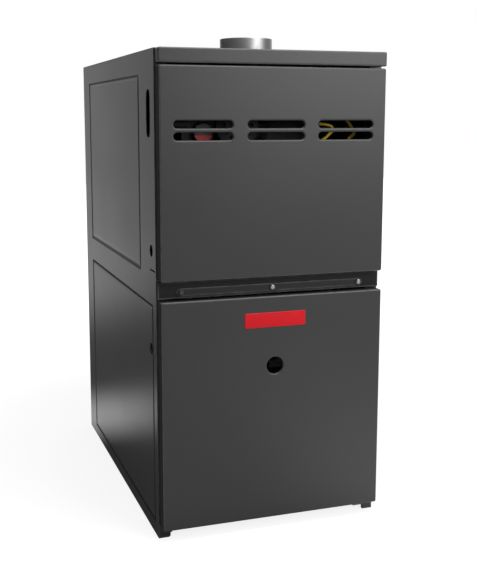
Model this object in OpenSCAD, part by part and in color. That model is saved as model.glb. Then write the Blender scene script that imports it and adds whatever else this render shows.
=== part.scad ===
// Upflow forced air gas furnace with two lift-off doors. Millimetres, +Z up, front towards -Y.
// The origin is on the floor, at the middle of the outline in plan.

/* [Cabinet] */
// Width over the casing sides
cab_w = 444.5; // [438:0.5:560]
// Depth of the casing without its doors
cab_d = 698.3; // [690:0.1:780]
// Height of the casing
cab_h = 905; // [900:1:1000]
// Thickness of the steel sheet
sheet = 1.2; // [0.8:0.1:1.6]
// Width of the turned-in front flanges, whose lower ends are the feet
flange_w = 23; // [16:0.5:26]
// Width of the turned-in flanges round the supply air outlet
duct_flange_w = 19; // [12:1:25]
// Width of the angle round the return air opening
base_angle_w = 30; // [20:1:36]
// Height of the return air angle
base_angle_h = 28; // [20:1:40]
// Height of the bottom front rail above the floor
front_rail_z = 12; // [10:0.5:18]
// Height of the bottom front rail itself
front_rail_h = 46; // [30:1:52]
// Thickness of the insulation board round the heat exchanger
liner_t = 10; // [6:1:16]

/* [Doors] */
// How far the doors stand in front of the casing
door_proud = 25.6; // [22:0.1:32]
// How far the doors stand in from the casing's sides
door_inset = 2.55; // [2:0.05:6]
// Height of the upper door
upper_door_h = 383; // [380:0.5:400]
// Height of the lower door's lower edge above the floor
lower_door_z = 22.5; // [20:0.5:26]
// Gap between the doors, which shows the rail
rail_gap = 36; // [34:0.5:46]
// Height of the lip of the top cap
lip_h = 26.5; // [20:0.5:32]
// Gap between the lip and the upper door
lip_gap = 3.5; // [2:0.5:6]
// Radius of the bent front edges of doors and lip
edge_r = 3; // [2:0.25:5]
// Radius of the doors' corners seen from the front
corner_r = 4; // [2:0.25:8]

/* [Door openings] */
// Length of one air slot
slot_l = 109.5; // [80:0.5:116]
// Height of one air slot
slot_h = 13.6; // [8:0.1:16]
// Distance between the two slots of a group
slot_pitch = 21; // [18:0.5:30]
// Distance between the middles of neighbouring slot groups
group_pitch = 138.5; // [120:0.5:145]
// Distance from the upper door's top edge down to the upper slots
slot_drop = 103; // [60:1:160]
// Depth of the formed lip round each opening
formed_lip = 3; // [2:0.5:6]
// Diameter of the sight hole
sight_d = 32; // [20:0.5:45]
// Distance from the lower door's top edge down to the sight hole
sight_drop = 133; // [90:1:200]
// Width of the badge plate
badge_w = 121; // [80:1:140]
// Height of the badge plate
badge_h = 28; // [18:0.5:34]
// Thickness of the badge plate
badge_t = 1; // [0.5:0.1:2]
// Distance from the lower door's top edge down to the badge plate's middle
badge_drop = 44.5; // [26:0.5:70]

/* [Side openings] */
// Width of the gas pipe slot
gas_slot_w = 28.6; // [24:0.2:34]
// Height of the gas pipe slot
gas_slot_h = 87; // [60:1:100]
// Distance of the gas pipe slot's middle behind the casing front
gas_slot_back = 43.5; // [40:0.5:48]
// Height of the gas pipe slot's middle above the blower shelf
gas_slot_rise = 302.5; // [292:0.5:310]
// Diameter of the wire holes
wire_hole_d = 22; // [18:0.5:28]
// Height of the upper wire hole above the blower shelf
upper_hole_rise = 54; // [40:1:110]
// Distance of the upper wire hole behind the casing front
upper_hole_back = 32; // [26:1:45]
// Distance from the blower shelf down to the lower wire hole
lower_hole_drop = 131.5; // [110:0.5:150]
// Distance of the lower wire hole behind the casing front
lower_hole_back = 41; // [36:0.5:48]
// Length of the drain slit in each side
slit_l = 36; // [20:1:40]
// Height of the drain slit in each side
slit_h = 3; // [2:0.5:4]

/* [Rail and strip] */
// How far the rail stands in front of the casing
rail_proud = 6.8; // [5:0.2:10]
// Length of the strip that holds the lower door
strip_l = 372; // [300:1:380]
// Height of that strip
strip_h = 14.5; // [12:0.5:18]
// Distance between the strip's screws
strip_screw_pitch = 177.5; // [120:0.5:178]
// Distance across the flats of the screw heads
screw_af = 8; // [6:0.5:9]

/* [Flue] */
// Outside diameter of the vent collar
collar_d = 101.6; // [76:0.2:102]
// Height of the collar above the casing
collar_rise = 30; // [20:1:60]
// Distance of the collar's middle behind the casing front
collar_back = 142; // [138:0.5:144]
// Wall of the collar
collar_t = 0.8; // [0.6:0.1:1.5]

/* [Heat exchanger] */
// Distance of the vestibule wall behind the casing front
vest_back = 207; // [206:0.5:215]
// Outside diameter of the heat exchanger tubes
tube_d = 44.5; // [38:0.5:50]
// Wall of the heat exchanger tubes
tube_t = 1.4; // [1:0.1:2]
// Number of heat exchanger cells
cell_n = 4; // [2:1:4]
// Distance between neighbouring cells
cell_pitch = 92; // [80:1:94]
// Distance between the passes of one cell
pass_pitch = 85; // [80:1:88]
// Height of the burners above the blower shelf
burner_rise = 86; // [84:1:92]
// Clear space behind the heat exchanger
rear_clear = 45; // [30:1:90]

/* [Inducer] */
// Distance from the shelf up to the inducer's axis
inducer_rise = 281; // [276:1:284]
// Radius at the start of the inducer scroll
inducer_r = 68; // [64:1:70]
// Growth of the inducer scroll in each quarter
inducer_step = 9; // [6:0.5:10]
// Width of the inducer outlet
inducer_out_w = 78; // [70:1:80]
// Radius of the inducer wheel
inducer_wheel_r = 56; // [45:1:58]
// Number of blades on the inducer wheel
inducer_blades = 20; // [12:1:28]
// Radius of the inducer motor
inducer_motor_r = 42; // [35:1:43]
// Length of the inducer motor
inducer_motor_l = 56; // [45:1:60]
// Radius of the inducer shaft
inducer_shaft_r = 4; // [3:0.25:5]

/* [Gas train] */
// Width of the gas valve
valve_w = 62; // [50:1:64]
// Height of the gas valve
valve_h = 88; // [75:1:92]
// Depth of the gas valve
valve_d = 56; // [48:1:60]
// Distance of the gas valve's face behind the casing front
valve_back = 41; // [40:0.5:43]
// Height of the gas valve's top above the blower shelf
valve_rise = 301; // [298:0.5:304]
// Diameter of the gas valve's knob
knob_d = 36.4; // [28:0.2:40]
// Length of the knob
knob_l = 11; // [8:0.5:12]
// Radius of the gas inlet thread
gas_port_r = 9.6; // [8:0.1:11]
// Outside radius of the gas manifold pipe
manifold_r = 10.65; // [9:0.05:12]
// Wall of the manifold pipe
manifold_t = 2.7; // [2:0.1:3]
// Distance of the manifold behind the casing front
manifold_back = 74; // [72:0.5:78]
// Outer radius of a burner's inlet bell
bell_r = 19; // [16:0.5:21]
// Radius of a burner's mixing tube
mixer_r = 14; // [12:0.5:15]

/* [Air mover] */
// Radius at the start of the blower scroll
blower_r = 150; // [144:1:154]
// Growth of the blower scroll in each quarter
blower_step = 22; // [16:1:24]
// Width of the blower housing
blower_w = 230; // [220:1:250]
// Distance of the blower's axis above the floor
blower_z = 235; // [228:1:240]
// Distance of the blower's axis behind the casing front
blower_back = 366; // [362:1:370]
// Radius of the blower wheel
wheel_r = 127; // [118:1:132]
// Width of the blower wheel
wheel_w = 200; // [180:1:204]
// Number of blades on the blower wheel
wheel_blades = 36; // [24:1:44]
// Radius of the blower's inlets
inlet_r = 108; // [100:1:112]
// Radius of the blower motor
motor_r = 70; // [60:1:74]
// How far the blower motor stands out of the housing
motor_out = 33; // [31:1:40]
// Radius of the blower shaft
shaft_r = 6.35; // [5:0.05:8]

/* [Controls] */
// Width of the control board
board_w = 165; // [140:1:170]
// Height of the control board
board_h = 125; // [100:1:135]
// Travel of the door switch's plunger
plunger_travel = 5; // [3:0.5:6]
// Radius of the door switch's plunger
plunger_r = 4; // [3:0.25:5]
// Radius of a rollout switch's reset button
reset_r = 2.6; // [2:0.1:3.2]
// Travel of a reset button
reset_travel = 1.5; // [1:0.1:2]
// Radius of the pressure switch
pressure_r = 33; // [26:1:36]

/* [Hidden] */
$fn = 64;
// Clearances: between flat sheets, round a screw, of a turning shaft, of a sliding pin
seam = 0.3;
hole_fit = 0.15;
run_fit = 0.06;
slide_fit = 0.1;
// Amount by which a cutting shape runs past the face that it cuts
past = 1;

// Plan: casing front, door front, back and inner faces
front_y = (door_proud + badge_t - cab_d) / 2;
door_y = front_y - door_proud;
back_y = front_y + cab_d;
half_w = cab_w / 2;
in_x = half_w - sheet;
in_back = back_y - sheet;
door_d = door_proud - seam;
function fy(back) = front_y + back;

// Levels, from the top down: a taller casing has a taller lower door
door_w = cab_w - 2 * door_inset;
upper_door_top = cab_h - lip_h - lip_gap;
upper_door_z = upper_door_top - upper_door_h;
lower_door_top = upper_door_z - rail_gap;
rail_side_gap = 3;
deck_z = upper_door_z - rail_side_gap;
sight_z = lower_door_top - sight_drop;
badge_z = lower_door_top - badge_drop;
gas_slot_z = deck_z + gas_slot_rise;
upper_hole_z = deck_z + upper_hole_rise;
lower_hole_z = deck_z - lower_hole_drop;
deck_top = deck_z + sheet;
rail_bottom = lower_door_top + rail_side_gap;
panel_top = cab_h - sheet - seam;

// Side panel grooves
groove_w = 2.5;
groove_d = 0.5;
groove_r = 9;
groove_rear = 73.3;

// Vestibule wall and the cells
vest_y = fy(vest_back);
burner_z = deck_z + burner_rise;
cell_x0 = -cell_pitch * (cell_n - 1) / 2;
cell_xs = [for (i = [0 : cell_n - 1]) cell_x0 + i * cell_pitch];
tube_r = tube_d / 2;
last_pass_z = burner_z + 3 * pass_pitch;
cell_rear_y = in_back - rear_clear - tube_r - pass_pitch / 2;
cell_front_y = vest_y + sheet + 12 + tube_r + pass_pitch / 2;
swage = 1;

// Top cap and collar
cap_w = 2 * (in_x - seam);
cap_rear_y = vest_y + sheet + 12;
collar_r = collar_d / 2;
collar_y = fy(collar_back);
collar_flange = 11;
collar_below = 16;
collar_step = 0.6;
flange_t = 1;

// Collector box and inducer
gasket_t = 2;
inducer_d = 2 * (vest_back - collar_back - 34 - gasket_t);
collector_d = vest_back - collar_back - inducer_d / 2 - gasket_t;
collector_w = cell_pitch * (cell_n - 1) + tube_d + 40;
inducer_z = deck_z + inducer_rise;
collector_z0 = inducer_z - 46;
collector_z1 = last_pass_z + tube_r + 14;
inducer_x = inducer_out_w / 2 - inducer_step / 2 - inducer_r - 2 * inducer_step;
inducer_back_y = vest_y - collector_d - gasket_t;
inducer_front_y = inducer_back_y - inducer_d;
inducer_out_z = inducer_z + 92;
inducer_inlet_r = 32;
flue_flange_r = inducer_d / 2 - seam;
flue_r = flue_flange_r - 5;
fan_space = 13;
motor_front_y = inducer_front_y - fan_space - inducer_motor_l;
tap_x = 18;
tap_z = inducer_z - 28;
tap_l = 12;

// Gas train
valve_x1 = inducer_x - inducer_motor_r - 5;
valve_x0 = valve_x1 - valve_w;
valve_y = fy(valve_back);
valve_z1 = deck_z + valve_rise;
valve_z0 = valve_z1 - valve_h;
knob_x = valve_x1 - 24;
knob_z = valve_z1 - 33;
inlet_z = valve_z1 - 17;
inlet_boss_r = gas_port_r + 5.4;
inlet_boss_l = 22;
outlet_x = (valve_x0 + valve_x1) / 2;
manifold_y = fy(manifold_back);
manifold_half = cell_pitch * (cell_n - 1) / 2 + 22;
orifice_reach = 15;
spud_r = 4;
burner_y0 = manifold_y + manifold_r + orifice_reach + 2;
burner_y1 = vest_y - 14;
bracket_y0 = burner_y0 + 16;
bracket_half = cell_pitch * (cell_n - 1) / 2 + 42;
bracket_up = 34;
rod_r = 6;
igniter_x = cell_xs[0] + 23;
sensor_x = cell_xs[cell_n - 1] - 23;
rod_y = vest_y - 11;
rollout_x = 92;
rollout_y = bracket_y0 + 22;
rollout_r = 9;
rollout_h = 12;
bracket_top = burner_z + bracket_up;
reset_proud = 4;
reset_l = 10;

// Pressure switch on the right side
pressure_y = fy(72);
pressure_z = deck_z + 224;
pressure_t = 24;
pressure_off = 10;
pressure_x0 = in_x - pressure_off - pressure_t;
port_r = 3;
port_l = 14;
port_drop = 16;

// Blower
blower_y = fy(blower_back);
blower_half = blower_w / 2;
blower_cut = -20;
blower_right = blower_step / 2 + blower_r + 2 * blower_step;
blower_top = deck_z - 8;
blower_wall = 1;
flange_out = 15;
hub_x = 14;
hub_l = 36;
hub_r = 20;
motor_x1 = hub_x - 6;
motor_x0 = -blower_half - motor_out;
motor_l = motor_x1 - motor_x0;
inlet_flare = 8;
band_w = 24;
band_t = 1.6;
arm_r = 4;
arm_reach = inlet_r + 22;
cap_r = 22;
cap_l = 80;

// Controls
bracket_y = fy(92);
bracket_x0 = -150;
bracket_x1 = 190;
bracket_drop = 235;
standoff_l = 8;
board_t = 1.6;
board_x0 = bracket_x1 - 12 - board_w;
board_z0 = deck_z - 85 - board_h;
switch_x = 120;
switch_z = rail_bottom - 12;
switch_w = 28;
switch_y0 = fy(12);
switch_d = 30;
plunger_out = 8;
jbox_w = 50;
jbox_d = 70;
jbox_h = 100;
jbox_y0 = fy(lower_hole_back - jbox_d / 2);
grommet_x = 172;
grommet_y = vest_y - 32;
grommet_r = 14;

// Points on the routes of the leads and of the hose, from the left, the casing front and the shelf
lead_r = 3;
rollout_tab = 4.4;
lead_a = [[-9, 70, 281], [8, 69.5, 281.5], [44, 56, 290], [84, 43, 285], [118, 40, 283], [137, 40, 279],
    [142, 42, 271], [135, 43, 263], [119, 46, 248], [100, 54, 222], [92, 78, 180],
    [rollout_x - rollout_tab, 110, 142], [rollout_x - rollout_tab, 128.6, 127.5]];
// This lead's points give the share of the way across from the rollout switch's tab to the pressure switch's
lead_b_x = rollout_x + rollout_tab;
lead_b_run = pressure_x0 + 3.45 - lead_b_x;
lead_b = [for (q = [[1, 72, 256.3], [0.984, 72, 268], [0.867, 66, 290], [0.74, 54, 301], [0.74, 43, 296],
    [0.825, 40, 287], [0.92, 40, 275], [0.973, 41, 268], [0.942, 42, 261], [0.846, 44, 252], [0.761, 46, 226],
    [0.591, 52, 196], [0.315, 82, 160], [0.081, 112, 136], [0, 128.6, 127.5]])
    [lead_b_x + q.x * lead_b_run, q.y, q.z]];
hose_r = 4;
// The hose's points give the share of the way across from the inducer's tap to the switch's port
hose_run = pressure_x0 - port_l - seam - tap_x;
hose_path = [for (q = [[0, 100.3, 253], [0, 86, 250], [0.17, 72, 240], [0.48, 66, 222], [0.76, 68, 212],
    [1, 72, 208]]) [tap_x + q.x * hose_run, q.y, q.z]];
harness_r = 4;
harness_a = [[162, 75, -89.7], [163, 76, -68], [166, 86, -52], [168, 100, -45], [171, 140, -44],
    [172, 168, -36], [172, 175, -20], [172, 175, 4], [172, 173, 24], [160, 170, 38], [110, 164, 36],
    [20, 140, 34], [-50, 98, 34],
    [-92, 56, 46], [-100, 49, 86], [-105, 50, 130], [-111, 57, 180], [-112, 60, 212.6]];
harness_b = [[-172, 60, -128], [-150, 60, -128], [-110, 62, -134], [-60, 70, -152], [-18, 75, -182],
    [26.2, 76, -191]];
tube_sides = 8;
route_steps = 2;

// Boxes and flat figures
module span(low, high) {
    translate(low) cube(high - low);
}

module rounded(w, h, r) {
    square([w - 2 * r, h], center = true);
    square([w, h - 2 * r], center = true);
    for (x = [-1, 1], y = [-1, 1])
        translate([x * (w / 2 - r), y * (h / 2 - r)]) circle(r);
}

module obround(l, h) {
    square([l - h, h], center = true);
    for (x = [-1, 1])
        translate([x * (l - h) / 2, 0]) circle(h / 2);
}

// A flat figure in X and Z, made t thick from y towards the back
module wall_y(y, t) {
    translate([0, y + t, 0]) rotate([90, 0, 0]) linear_extrude(t) children();
}

// A flat figure in Y and Z, made t thick from x towards the right
module wall_x(x, t) {
    translate([x, 0, 0]) rotate([90, 0, 90]) linear_extrude(t) children();
}

module wall_z(z, t) {
    translate([0, 0, z]) linear_extrude(t) children();
}

module rod_x(from, l, r) {
    translate(from) rotate([0, 90, 0]) cylinder(h = l, r = r);
}

module rod_y(from, l, r) {
    translate(from) rotate([-90, 0, 0]) cylinder(h = l, r = r);
}

module rod_z(from, l, r) {
    translate(from) cylinder(h = l, r = r);
}

// Block with rounded front edges and corners, its front at y
module soft_block(w, z0, z1, y, d, r, corner) {
    mid_z = (z0 + z1) / 2;
    h = z1 - z0;
    intersection() {
        wall_y(y, d) translate([0, mid_z]) rounded(w, h, corner);
        wall_z(z0, h) translate([0, y + d]) front_round(w, d, r);
        wall_x(-w / 2, w) translate([y + d, mid_z]) rotate(-90) front_round(h, d, r);
    }
}

// Rectangle below the X axis whose two lower corners are round
module front_round(w, d, r) {
    translate([-w / 2, -d + r]) square([w, d - r]);
    translate([-w / 2 + r, -d]) square([w - 2 * r, d]);
    for (x = [-1, 1])
        translate([x * (w / 2 - r), -d + r]) circle(r);
}

// Shallow pan of sheet, open at the back
module pan(w, z0, z1) {
    difference() {
        soft_block(w, z0, z1, door_y, door_d, edge_r, corner_r);
        soft_block(w - 2 * sheet, z0 + sheet, z1 - sheet, door_y + sheet, door_d, edge_r - sheet / 2,
            corner_r - sheet);
    }
}

// Hex head screw with its washer face at the origin and its shank along +Y
module hex_screw(af, l, r) {
    head_h = af * 0.55;
    rotate([90, 0, 0]) cylinder(h = head_h, r = af / sqrt(3), $fn = 6);
    rotate([90, 0, 0]) cylinder(h = head_h / 4, r = af * 0.7);
    rotate([-90, 0, 0]) cylinder(h = l, r = r);
}

// Points on a smooth curve through the given points
function curve_point(p, i, t) =
    let (
        a = p[max(i - 1, 0)],
        b = p[i],
        c = p[i + 1],
        d = p[min(i + 2, len(p) - 1)]
    )
    (2 * b + (c - a) * t + (2 * a - 5 * b + 4 * c - d) * t * t + (3 * b - 3 * c + d - a) * t * t * t) / 2;
function smooth_path(p, n) =
    concat([for (i = [0 : len(p) - 2], j = [0 : n - 1]) curve_point(p, i, j / n)], [p[len(p) - 1]]);
function unit(v) = v / norm(v);
function along(p, i) = unit(p[min(i + 1, len(p) - 1)] - p[max(i - 1, 0)]);
// Each ring keeps the turn of the one before it, so the tube does not twist
function ring_sides(p, i) =
    i == 0 ? unit(cross(along(p, 0), [0.31, 0.17, 0.93])) :
    let (before = ring_sides(p, i - 1), t = along(p, i)) unit(before - t * (before * t));

module tube_along(points, r) {
    p = smooth_path(points, route_steps);
    n = tube_sides;
    rings = [for (i = [0 : len(p) - 1])
        let (t = along(p, i), s = ring_sides(p, i), q = cross(t, s))
        for (k = [0 : n - 1]) p[i] + r * (s * cos(360 * k / n) + q * sin(360 * k / n))];
    last = (len(p) - 1) * n;
    sides = [for (i = [0 : len(p) - 2], k = [0 : n - 1])
        let (a = i * n + k, b = i * n + (k + 1) % n)
        each [[a, a + n, b], [b, a + n, b + n]]];
    caps = [[for (k = [0 : n - 1]) k], [for (k = [n - 1 : -1 : 0]) last + k]];
    polyhedron(points = rings, faces = concat(sides, caps), convexity = 6);
}

// Routes are written from the middle, the casing front and the shelf
function placed(route) = [for (q = route) [q.x, fy(q.y), deck_z + q.z]];

// Outline of a scroll housing round the origin, with its outlet upwards on the right
module scroll(r0, step, cut, top, inset) {
    c = step / 2;
    r1 = r0 - inset;
    r2 = r0 + step - inset;
    r3 = r0 + 2 * step - inset;
    translate([-c, -c]) quarter(r1, [-r1, 0]);
    translate([c, -c]) quarter(r2, [-r2, -r2]);
    translate([c, c]) quarter(r3, [0, -r3]);
    translate([-c, -c]) square([max(cut + c, step) + inset, r1]);
    translate([c, -c]) square([step, step]);
    translate([cut + inset, c]) square([c + r3 - cut - inset, top - c]);
}

module quarter(r, corner) {
    intersection() {
        circle(r);
        translate(corner) square([r, r]);
    }
}

// Casing
module casing_wrap() {
    color([0.27, 0.27, 0.28]) difference() {
        union() {
            for (s = [0, 1]) mirror([s, 0, 0]) {
                span([-half_w, front_y, 0], [-in_x, back_y, cab_h]);
                span([-half_w, front_y, 0], [flange_w - half_w, front_y + sheet, panel_top]);
                span([-half_w, cap_rear_y + seam, cab_h - sheet], [duct_flange_w - half_w, back_y, cab_h]);
            }
            span([-half_w, in_back, 0], [half_w, back_y, cab_h]);
            span([-half_w, back_y - duct_flange_w, cab_h - sheet], [half_w, back_y, cab_h]);
        }
        for (s = [0, 1]) mirror([s, 0, 0]) side_cuts();
        foot_cuts();
    }
}

module side_cuts() {
    wall_x(-half_w - past, sheet + 2 * past) {
        translate([fy(gas_slot_back), gas_slot_z]) rotate(90) obround(gas_slot_h, gas_slot_w);
        translate([fy(upper_hole_back), upper_hole_z]) circle(wire_hole_d / 2);
        translate([fy(lower_hole_back), lower_hole_z]) circle(wire_hole_d / 2);
        translate([fy(6 + slit_l / 2), upper_door_z + 15.5]) square([slit_l, slit_h], center = true);
    }
    wall_x(-half_w - past, groove_d + past) {
        groove(115, upper_door_z + 3, upper_door_top - 12);
        groove(23, lower_door_z + 0.5, lower_door_top - 13);
    }
}

// Rectangle pressed into the side, from back0 behind the casing front
module groove(back0, z0, z1) {
    w = cab_d - groove_rear - back0;
    h = z1 - z0;
    translate([fy(back0 + w / 2), z0 + h / 2]) difference() {
        rounded(w, h, groove_r);
        rounded(w - 2 * groove_w, h - 2 * groove_w, groove_r - groove_w);
    }
}

// The feet have cut-off inner corners
module foot_cuts() {
    foot_cut = 4;
    for (s = [-1, 1])
        translate([s * (half_w - flange_w), front_y - past, 0]) rotate([0, 45, 0])
            translate([-foot_cut / 2, 0, -foot_cut / 2]) cube([foot_cut, sheet + 2 * past, foot_cut]);
}

module top_cap() {
    color([0.36, 0.36, 0.37]) difference() {
        union() {
            pan(cap_w, cab_h - lip_h, cab_h);
            span([-cap_w / 2, front_y - 2 * sheet, cab_h - sheet], [cap_w / 2, cap_rear_y, cab_h]);
        }
        rod_z([0, collar_y, cab_h - sheet - past], sheet + 2 * past, collar_r + seam);
    }
}

module slot_places() {
    for (g = [-1, 0, 1], row = [0, 1])
        translate([g * group_pitch, upper_door_top - slot_drop - row * slot_pitch]) children();
}

module upper_door() {
    color([0.33, 0.33, 0.34]) difference() {
        union() {
            pan(door_w, upper_door_z, upper_door_top);
            wall_y(door_y + sheet / 2, formed_lip)
                slot_places() obround(slot_l + 2 * sheet, slot_h + 2 * sheet);
        }
        wall_y(door_y - past, formed_lip + sheet + 2 * past) slot_places() obround(slot_l, slot_h);
    }
}

module lower_door() {
    color([0.25, 0.25, 0.26]) difference() {
        union() {
            pan(door_w, lower_door_z, lower_door_top);
            rod_y([0, door_y + sheet / 2, sight_z], formed_lip, sight_d / 2 + sheet);
        }
        rod_y([0, door_y - past, sight_z], formed_lip + sheet + 2 * past, sight_d / 2);
    }
}

module badge_plate() {
    color([0.8, 0.08, 0.12])
        wall_y(door_y - badge_t, badge_t) translate([0, badge_z]) rounded(badge_w, badge_h, 3);
}

// Folded bracket welded behind the lower door, which presses the door switch
module door_switch_tab() {
    tab_h = 12;
    leg_y = fy(switch_y0 - front_y - plunger_out) - seam;
    color([0.6, 0.61, 0.62]) {
        span([switch_x - 10, leg_y - sheet, switch_z - tab_h / 2],
            [switch_x + 10, leg_y, switch_z + tab_h / 2]);
        span([switch_x + 8, door_y + sheet, switch_z - tab_h / 2],
            [switch_x + 10, leg_y, switch_z + tab_h / 2]);
        span([switch_x + 8, door_y + sheet, switch_z - tab_h / 2],
            [switch_x + 28, door_y + 2 * sheet, switch_z + tab_h / 2]);
    }
}

strip_xs = [-strip_screw_pitch, 0, strip_screw_pitch];
strip_z = rail_bottom + 11;
shank_r = 2.1;

module mullion() {
    rail_d = 34;
    inner_half = half_w - flange_w - seam;
    color([0.2, 0.2, 0.21]) difference() {
        union() {
            span([-cap_w / 2, front_y - rail_proud, rail_bottom], [cap_w / 2, front_y - seam, deck_z]);
            span([-inner_half, front_y - rail_proud, rail_bottom], [inner_half, front_y + rail_d, deck_z]);
        }
        span([-cap_w / 2 + sheet, front_y - rail_proud + sheet, rail_bottom + sheet],
            [cap_w / 2 - sheet, front_y + rail_d + past, deck_z - sheet]);
        for (x = strip_xs)
            rod_y([x, front_y - rail_proud - past, strip_z], sheet + 2 * past, shank_r + hole_fit);
    }
}

module door_retainer_strip() {
    color([0.26, 0.26, 0.27]) difference() {
        wall_y(front_y - rail_proud - sheet, sheet) translate([0, strip_z]) obround(strip_l, strip_h);
        for (x = strip_xs)
            rod_y([x, front_y - rail_proud - sheet - past, strip_z], sheet + 2 * past, shank_r + hole_fit);
    }
}

module retainer_screws() {
    color([0.75, 0.76, 0.78]) for (x = strip_xs)
        translate([x, front_y - rail_proud - sheet, strip_z]) hex_screw(screw_af, 10, shank_r);
}

// Frame round the return air opening
module base_frame() {
    rail_y = front_y + sheet + seam;
    inner = in_x - seam;
    color([0.6, 0.61, 0.62]) difference() {
        union() {
            span([-inner, rail_y, 0], [inner, in_back - seam, base_angle_h]);
            span([-inner, rail_y, front_rail_z], [inner, rail_y + 18, front_rail_z + front_rail_h]);
        }
        span([-inner + sheet, rail_y + 18, sheet],
            [inner - sheet, in_back - seam - sheet, base_angle_h + past]);
        span([-inner + base_angle_w, rail_y + 18, -past],
            [inner - base_angle_w, in_back - base_angle_w, 2 * sheet]);
        span([-inner - past, rail_y - past, -past], [inner + past, rail_y + 18, front_rail_z]);
        span([-inner + sheet, rail_y + sheet, front_rail_z + sheet],
            [inner - sheet, rail_y + 18 + past, front_rail_z + front_rail_h - sheet]);
    }
}

// Shelf between the blower and the heat exchanger
module blower_deck() {
    inner = in_x - seam;
    y0 = front_y + sheet + seam;
    color([0.6, 0.61, 0.62]) difference() {
        union() {
            span([-inner, y0, deck_z], [inner, in_back - seam, deck_top]);
            span([-inner, in_back - seam - sheet, deck_z - 20], [inner, in_back - seam, deck_top]);
            for (s = [-1, 1])
                span([s > 0 ? inner - sheet : -inner, fy(40), deck_z - 20],
                    [s > 0 ? inner : sheet - inner, in_back - seam, deck_top]);
        }
        span([-blower_half + sheet, blower_y + blower_cut + sheet, deck_z - past],
            [blower_half - sheet, blower_y + blower_right - sheet, deck_top + past]);
        rod_z([grommet_x, grommet_y, deck_z - past], sheet + 2 * past, grommet_r);
    }
}

vest_screws = [for (x = [-1, 1], z = [deck_top + 30, panel_top - 12]) [x * (in_x - 12), z]];

// Wall between the burners and the heat exchanger
module vestibule_panel() {
    inner = in_x - seam;
    color([0.62, 0.63, 0.64]) difference() {
        union() {
            span([-inner, vest_y, deck_top], [inner, vest_y + sheet, panel_top]);
            for (s = [-1, 1])
                span([s > 0 ? inner - sheet : -inner, vest_y, deck_top],
                    [s > 0 ? inner : sheet - inner, vest_y + 11, panel_top]);
            span([-inner, vest_y, deck_top], [inner, vest_y + 11, deck_top + sheet]);
        }
        for (x = cell_xs, z = [burner_z, last_pass_z])
            rod_y([x, vest_y - past, z], sheet + 2 * past, tube_r + seam);
        for (p = vest_screws)
            rod_y([p.x, vest_y - past, p.y], sheet + 2 * past, shank_r + hole_fit);
    }
}

module vestibule_screws() {
    color([0.75, 0.76, 0.78]) for (p = vest_screws)
        translate([p.x, vest_y, p.y]) hex_screw(screw_af, 8, shank_r);
}

// Insulation boards on the casing round the heat exchanger
module casing_liner() {
    z0 = deck_top + seam;
    z1 = cab_h - sheet - seam;
    y0 = vest_y + 12;
    color([0.8, 0.81, 0.82]) {
        for (s = [0, 1]) mirror([s, 0, 0])
            span([-in_x + seam, y0, z0], [-in_x + seam + liner_t, in_back - seam, z1]);
        span([-in_x + 2 * seam + liner_t, in_back - seam - liner_t, z0],
            [in_x - 2 * seam - liner_t, in_back - seam, z1]);
    }
}

// Plate behind the unused gas pipe slot on the right
module gas_slot_cover() {
    color([0.6, 0.61, 0.62]) wall_x(in_x - sheet, sheet)
        translate([fy(gas_slot_back), gas_slot_z]) rotate(90) obround(gas_slot_h + 14, gas_slot_w + 14);
}

// Plugs in the unused wire holes on the right
module hole_plugs() {
    color([0.1, 0.1, 0.1]) for (p = [[upper_hole_back, upper_hole_z], [lower_hole_back, lower_hole_z]]) {
        rod_x([in_x, fy(p.x), p.y], sheet - seam, wire_hole_d / 2 - slide_fit);
        rod_x([in_x - 2, fy(p.x), p.y], 2, wire_hole_d / 2 + 2.5);
    }
}

module vent_collar() {
    color([0.7, 0.71, 0.73]) difference() {
        union() {
            rod_z([0, collar_y, cab_h], collar_rise, collar_r);
            rod_z([0, collar_y, cab_h - collar_below], collar_below, collar_r - collar_step);
            rod_z([0, collar_y, cab_h - sheet - flange_t], flange_t, collar_r + collar_flange);
        }
        rod_z([0, collar_y, cab_h - collar_below - past], collar_below + collar_rise + past,
            collar_r - collar_step - collar_t);
        rod_z([0, collar_y, cab_h + collar_t], collar_rise, collar_r - collar_t);
    }
}

// Heat exchanger
// Serpentine of a round section: four passes and three bends
module serpentine(r) {
    front_end = vest_y - swage;
    rod_y([0, front_end, burner_z], cell_rear_y - front_end, r);
    rod_y([0, cell_front_y, burner_z + pass_pitch], cell_rear_y - cell_front_y, r);
    rod_y([0, cell_front_y, burner_z + 2 * pass_pitch], cell_rear_y - cell_front_y, r);
    rod_y([0, front_end, last_pass_z], cell_rear_y - front_end, r);
    for (pass = [0, 2])
        translate([0, cell_rear_y, burner_z + (pass + 0.5) * pass_pitch]) half_bend(r, 1);
    translate([0, cell_front_y, burner_z + 1.5 * pass_pitch]) half_bend(r, -1);
}

module half_bend(r, side) {
    rotate([0, 90, 0]) rotate([0, 0, side > 0 ? 0 : 180]) rotate_extrude(angle = 180)
        translate([pass_pitch / 2, 0]) circle(r);
}

module heat_exchanger_cells() {
    color([0.66, 0.66, 0.64]) for (x = cell_xs)
        translate([x, 0, 0]) difference() {
            serpentine(tube_r);
            serpentine(tube_r - tube_t);
            for (z = [burner_z, last_pass_z])
                rod_y([0, vest_y - swage - past, z], 2 * past, tube_r - tube_t);
        }
}

// Box that gathers the flue gas in front of the cells' outlets
module collector_box() {
    z0 = collector_z0;
    z1 = collector_z1;
    y0 = vest_y - collector_d;
    half = collector_w / 2;
    color([0.6, 0.61, 0.62]) difference() {
        union() {
            span([-half, y0, z0], [half, vest_y, z1]);
            span([-half - 12, vest_y - sheet, z0 - 12], [half + 12, vest_y, z1 + 12]);
        }
        span([-half + sheet, y0 + sheet, z0 + sheet], [half - sheet, vest_y + past, z1 - sheet]);
        rod_y([inducer_x, y0 - past, inducer_z], sheet + 2 * past, inducer_inlet_r);
    }
}

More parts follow.
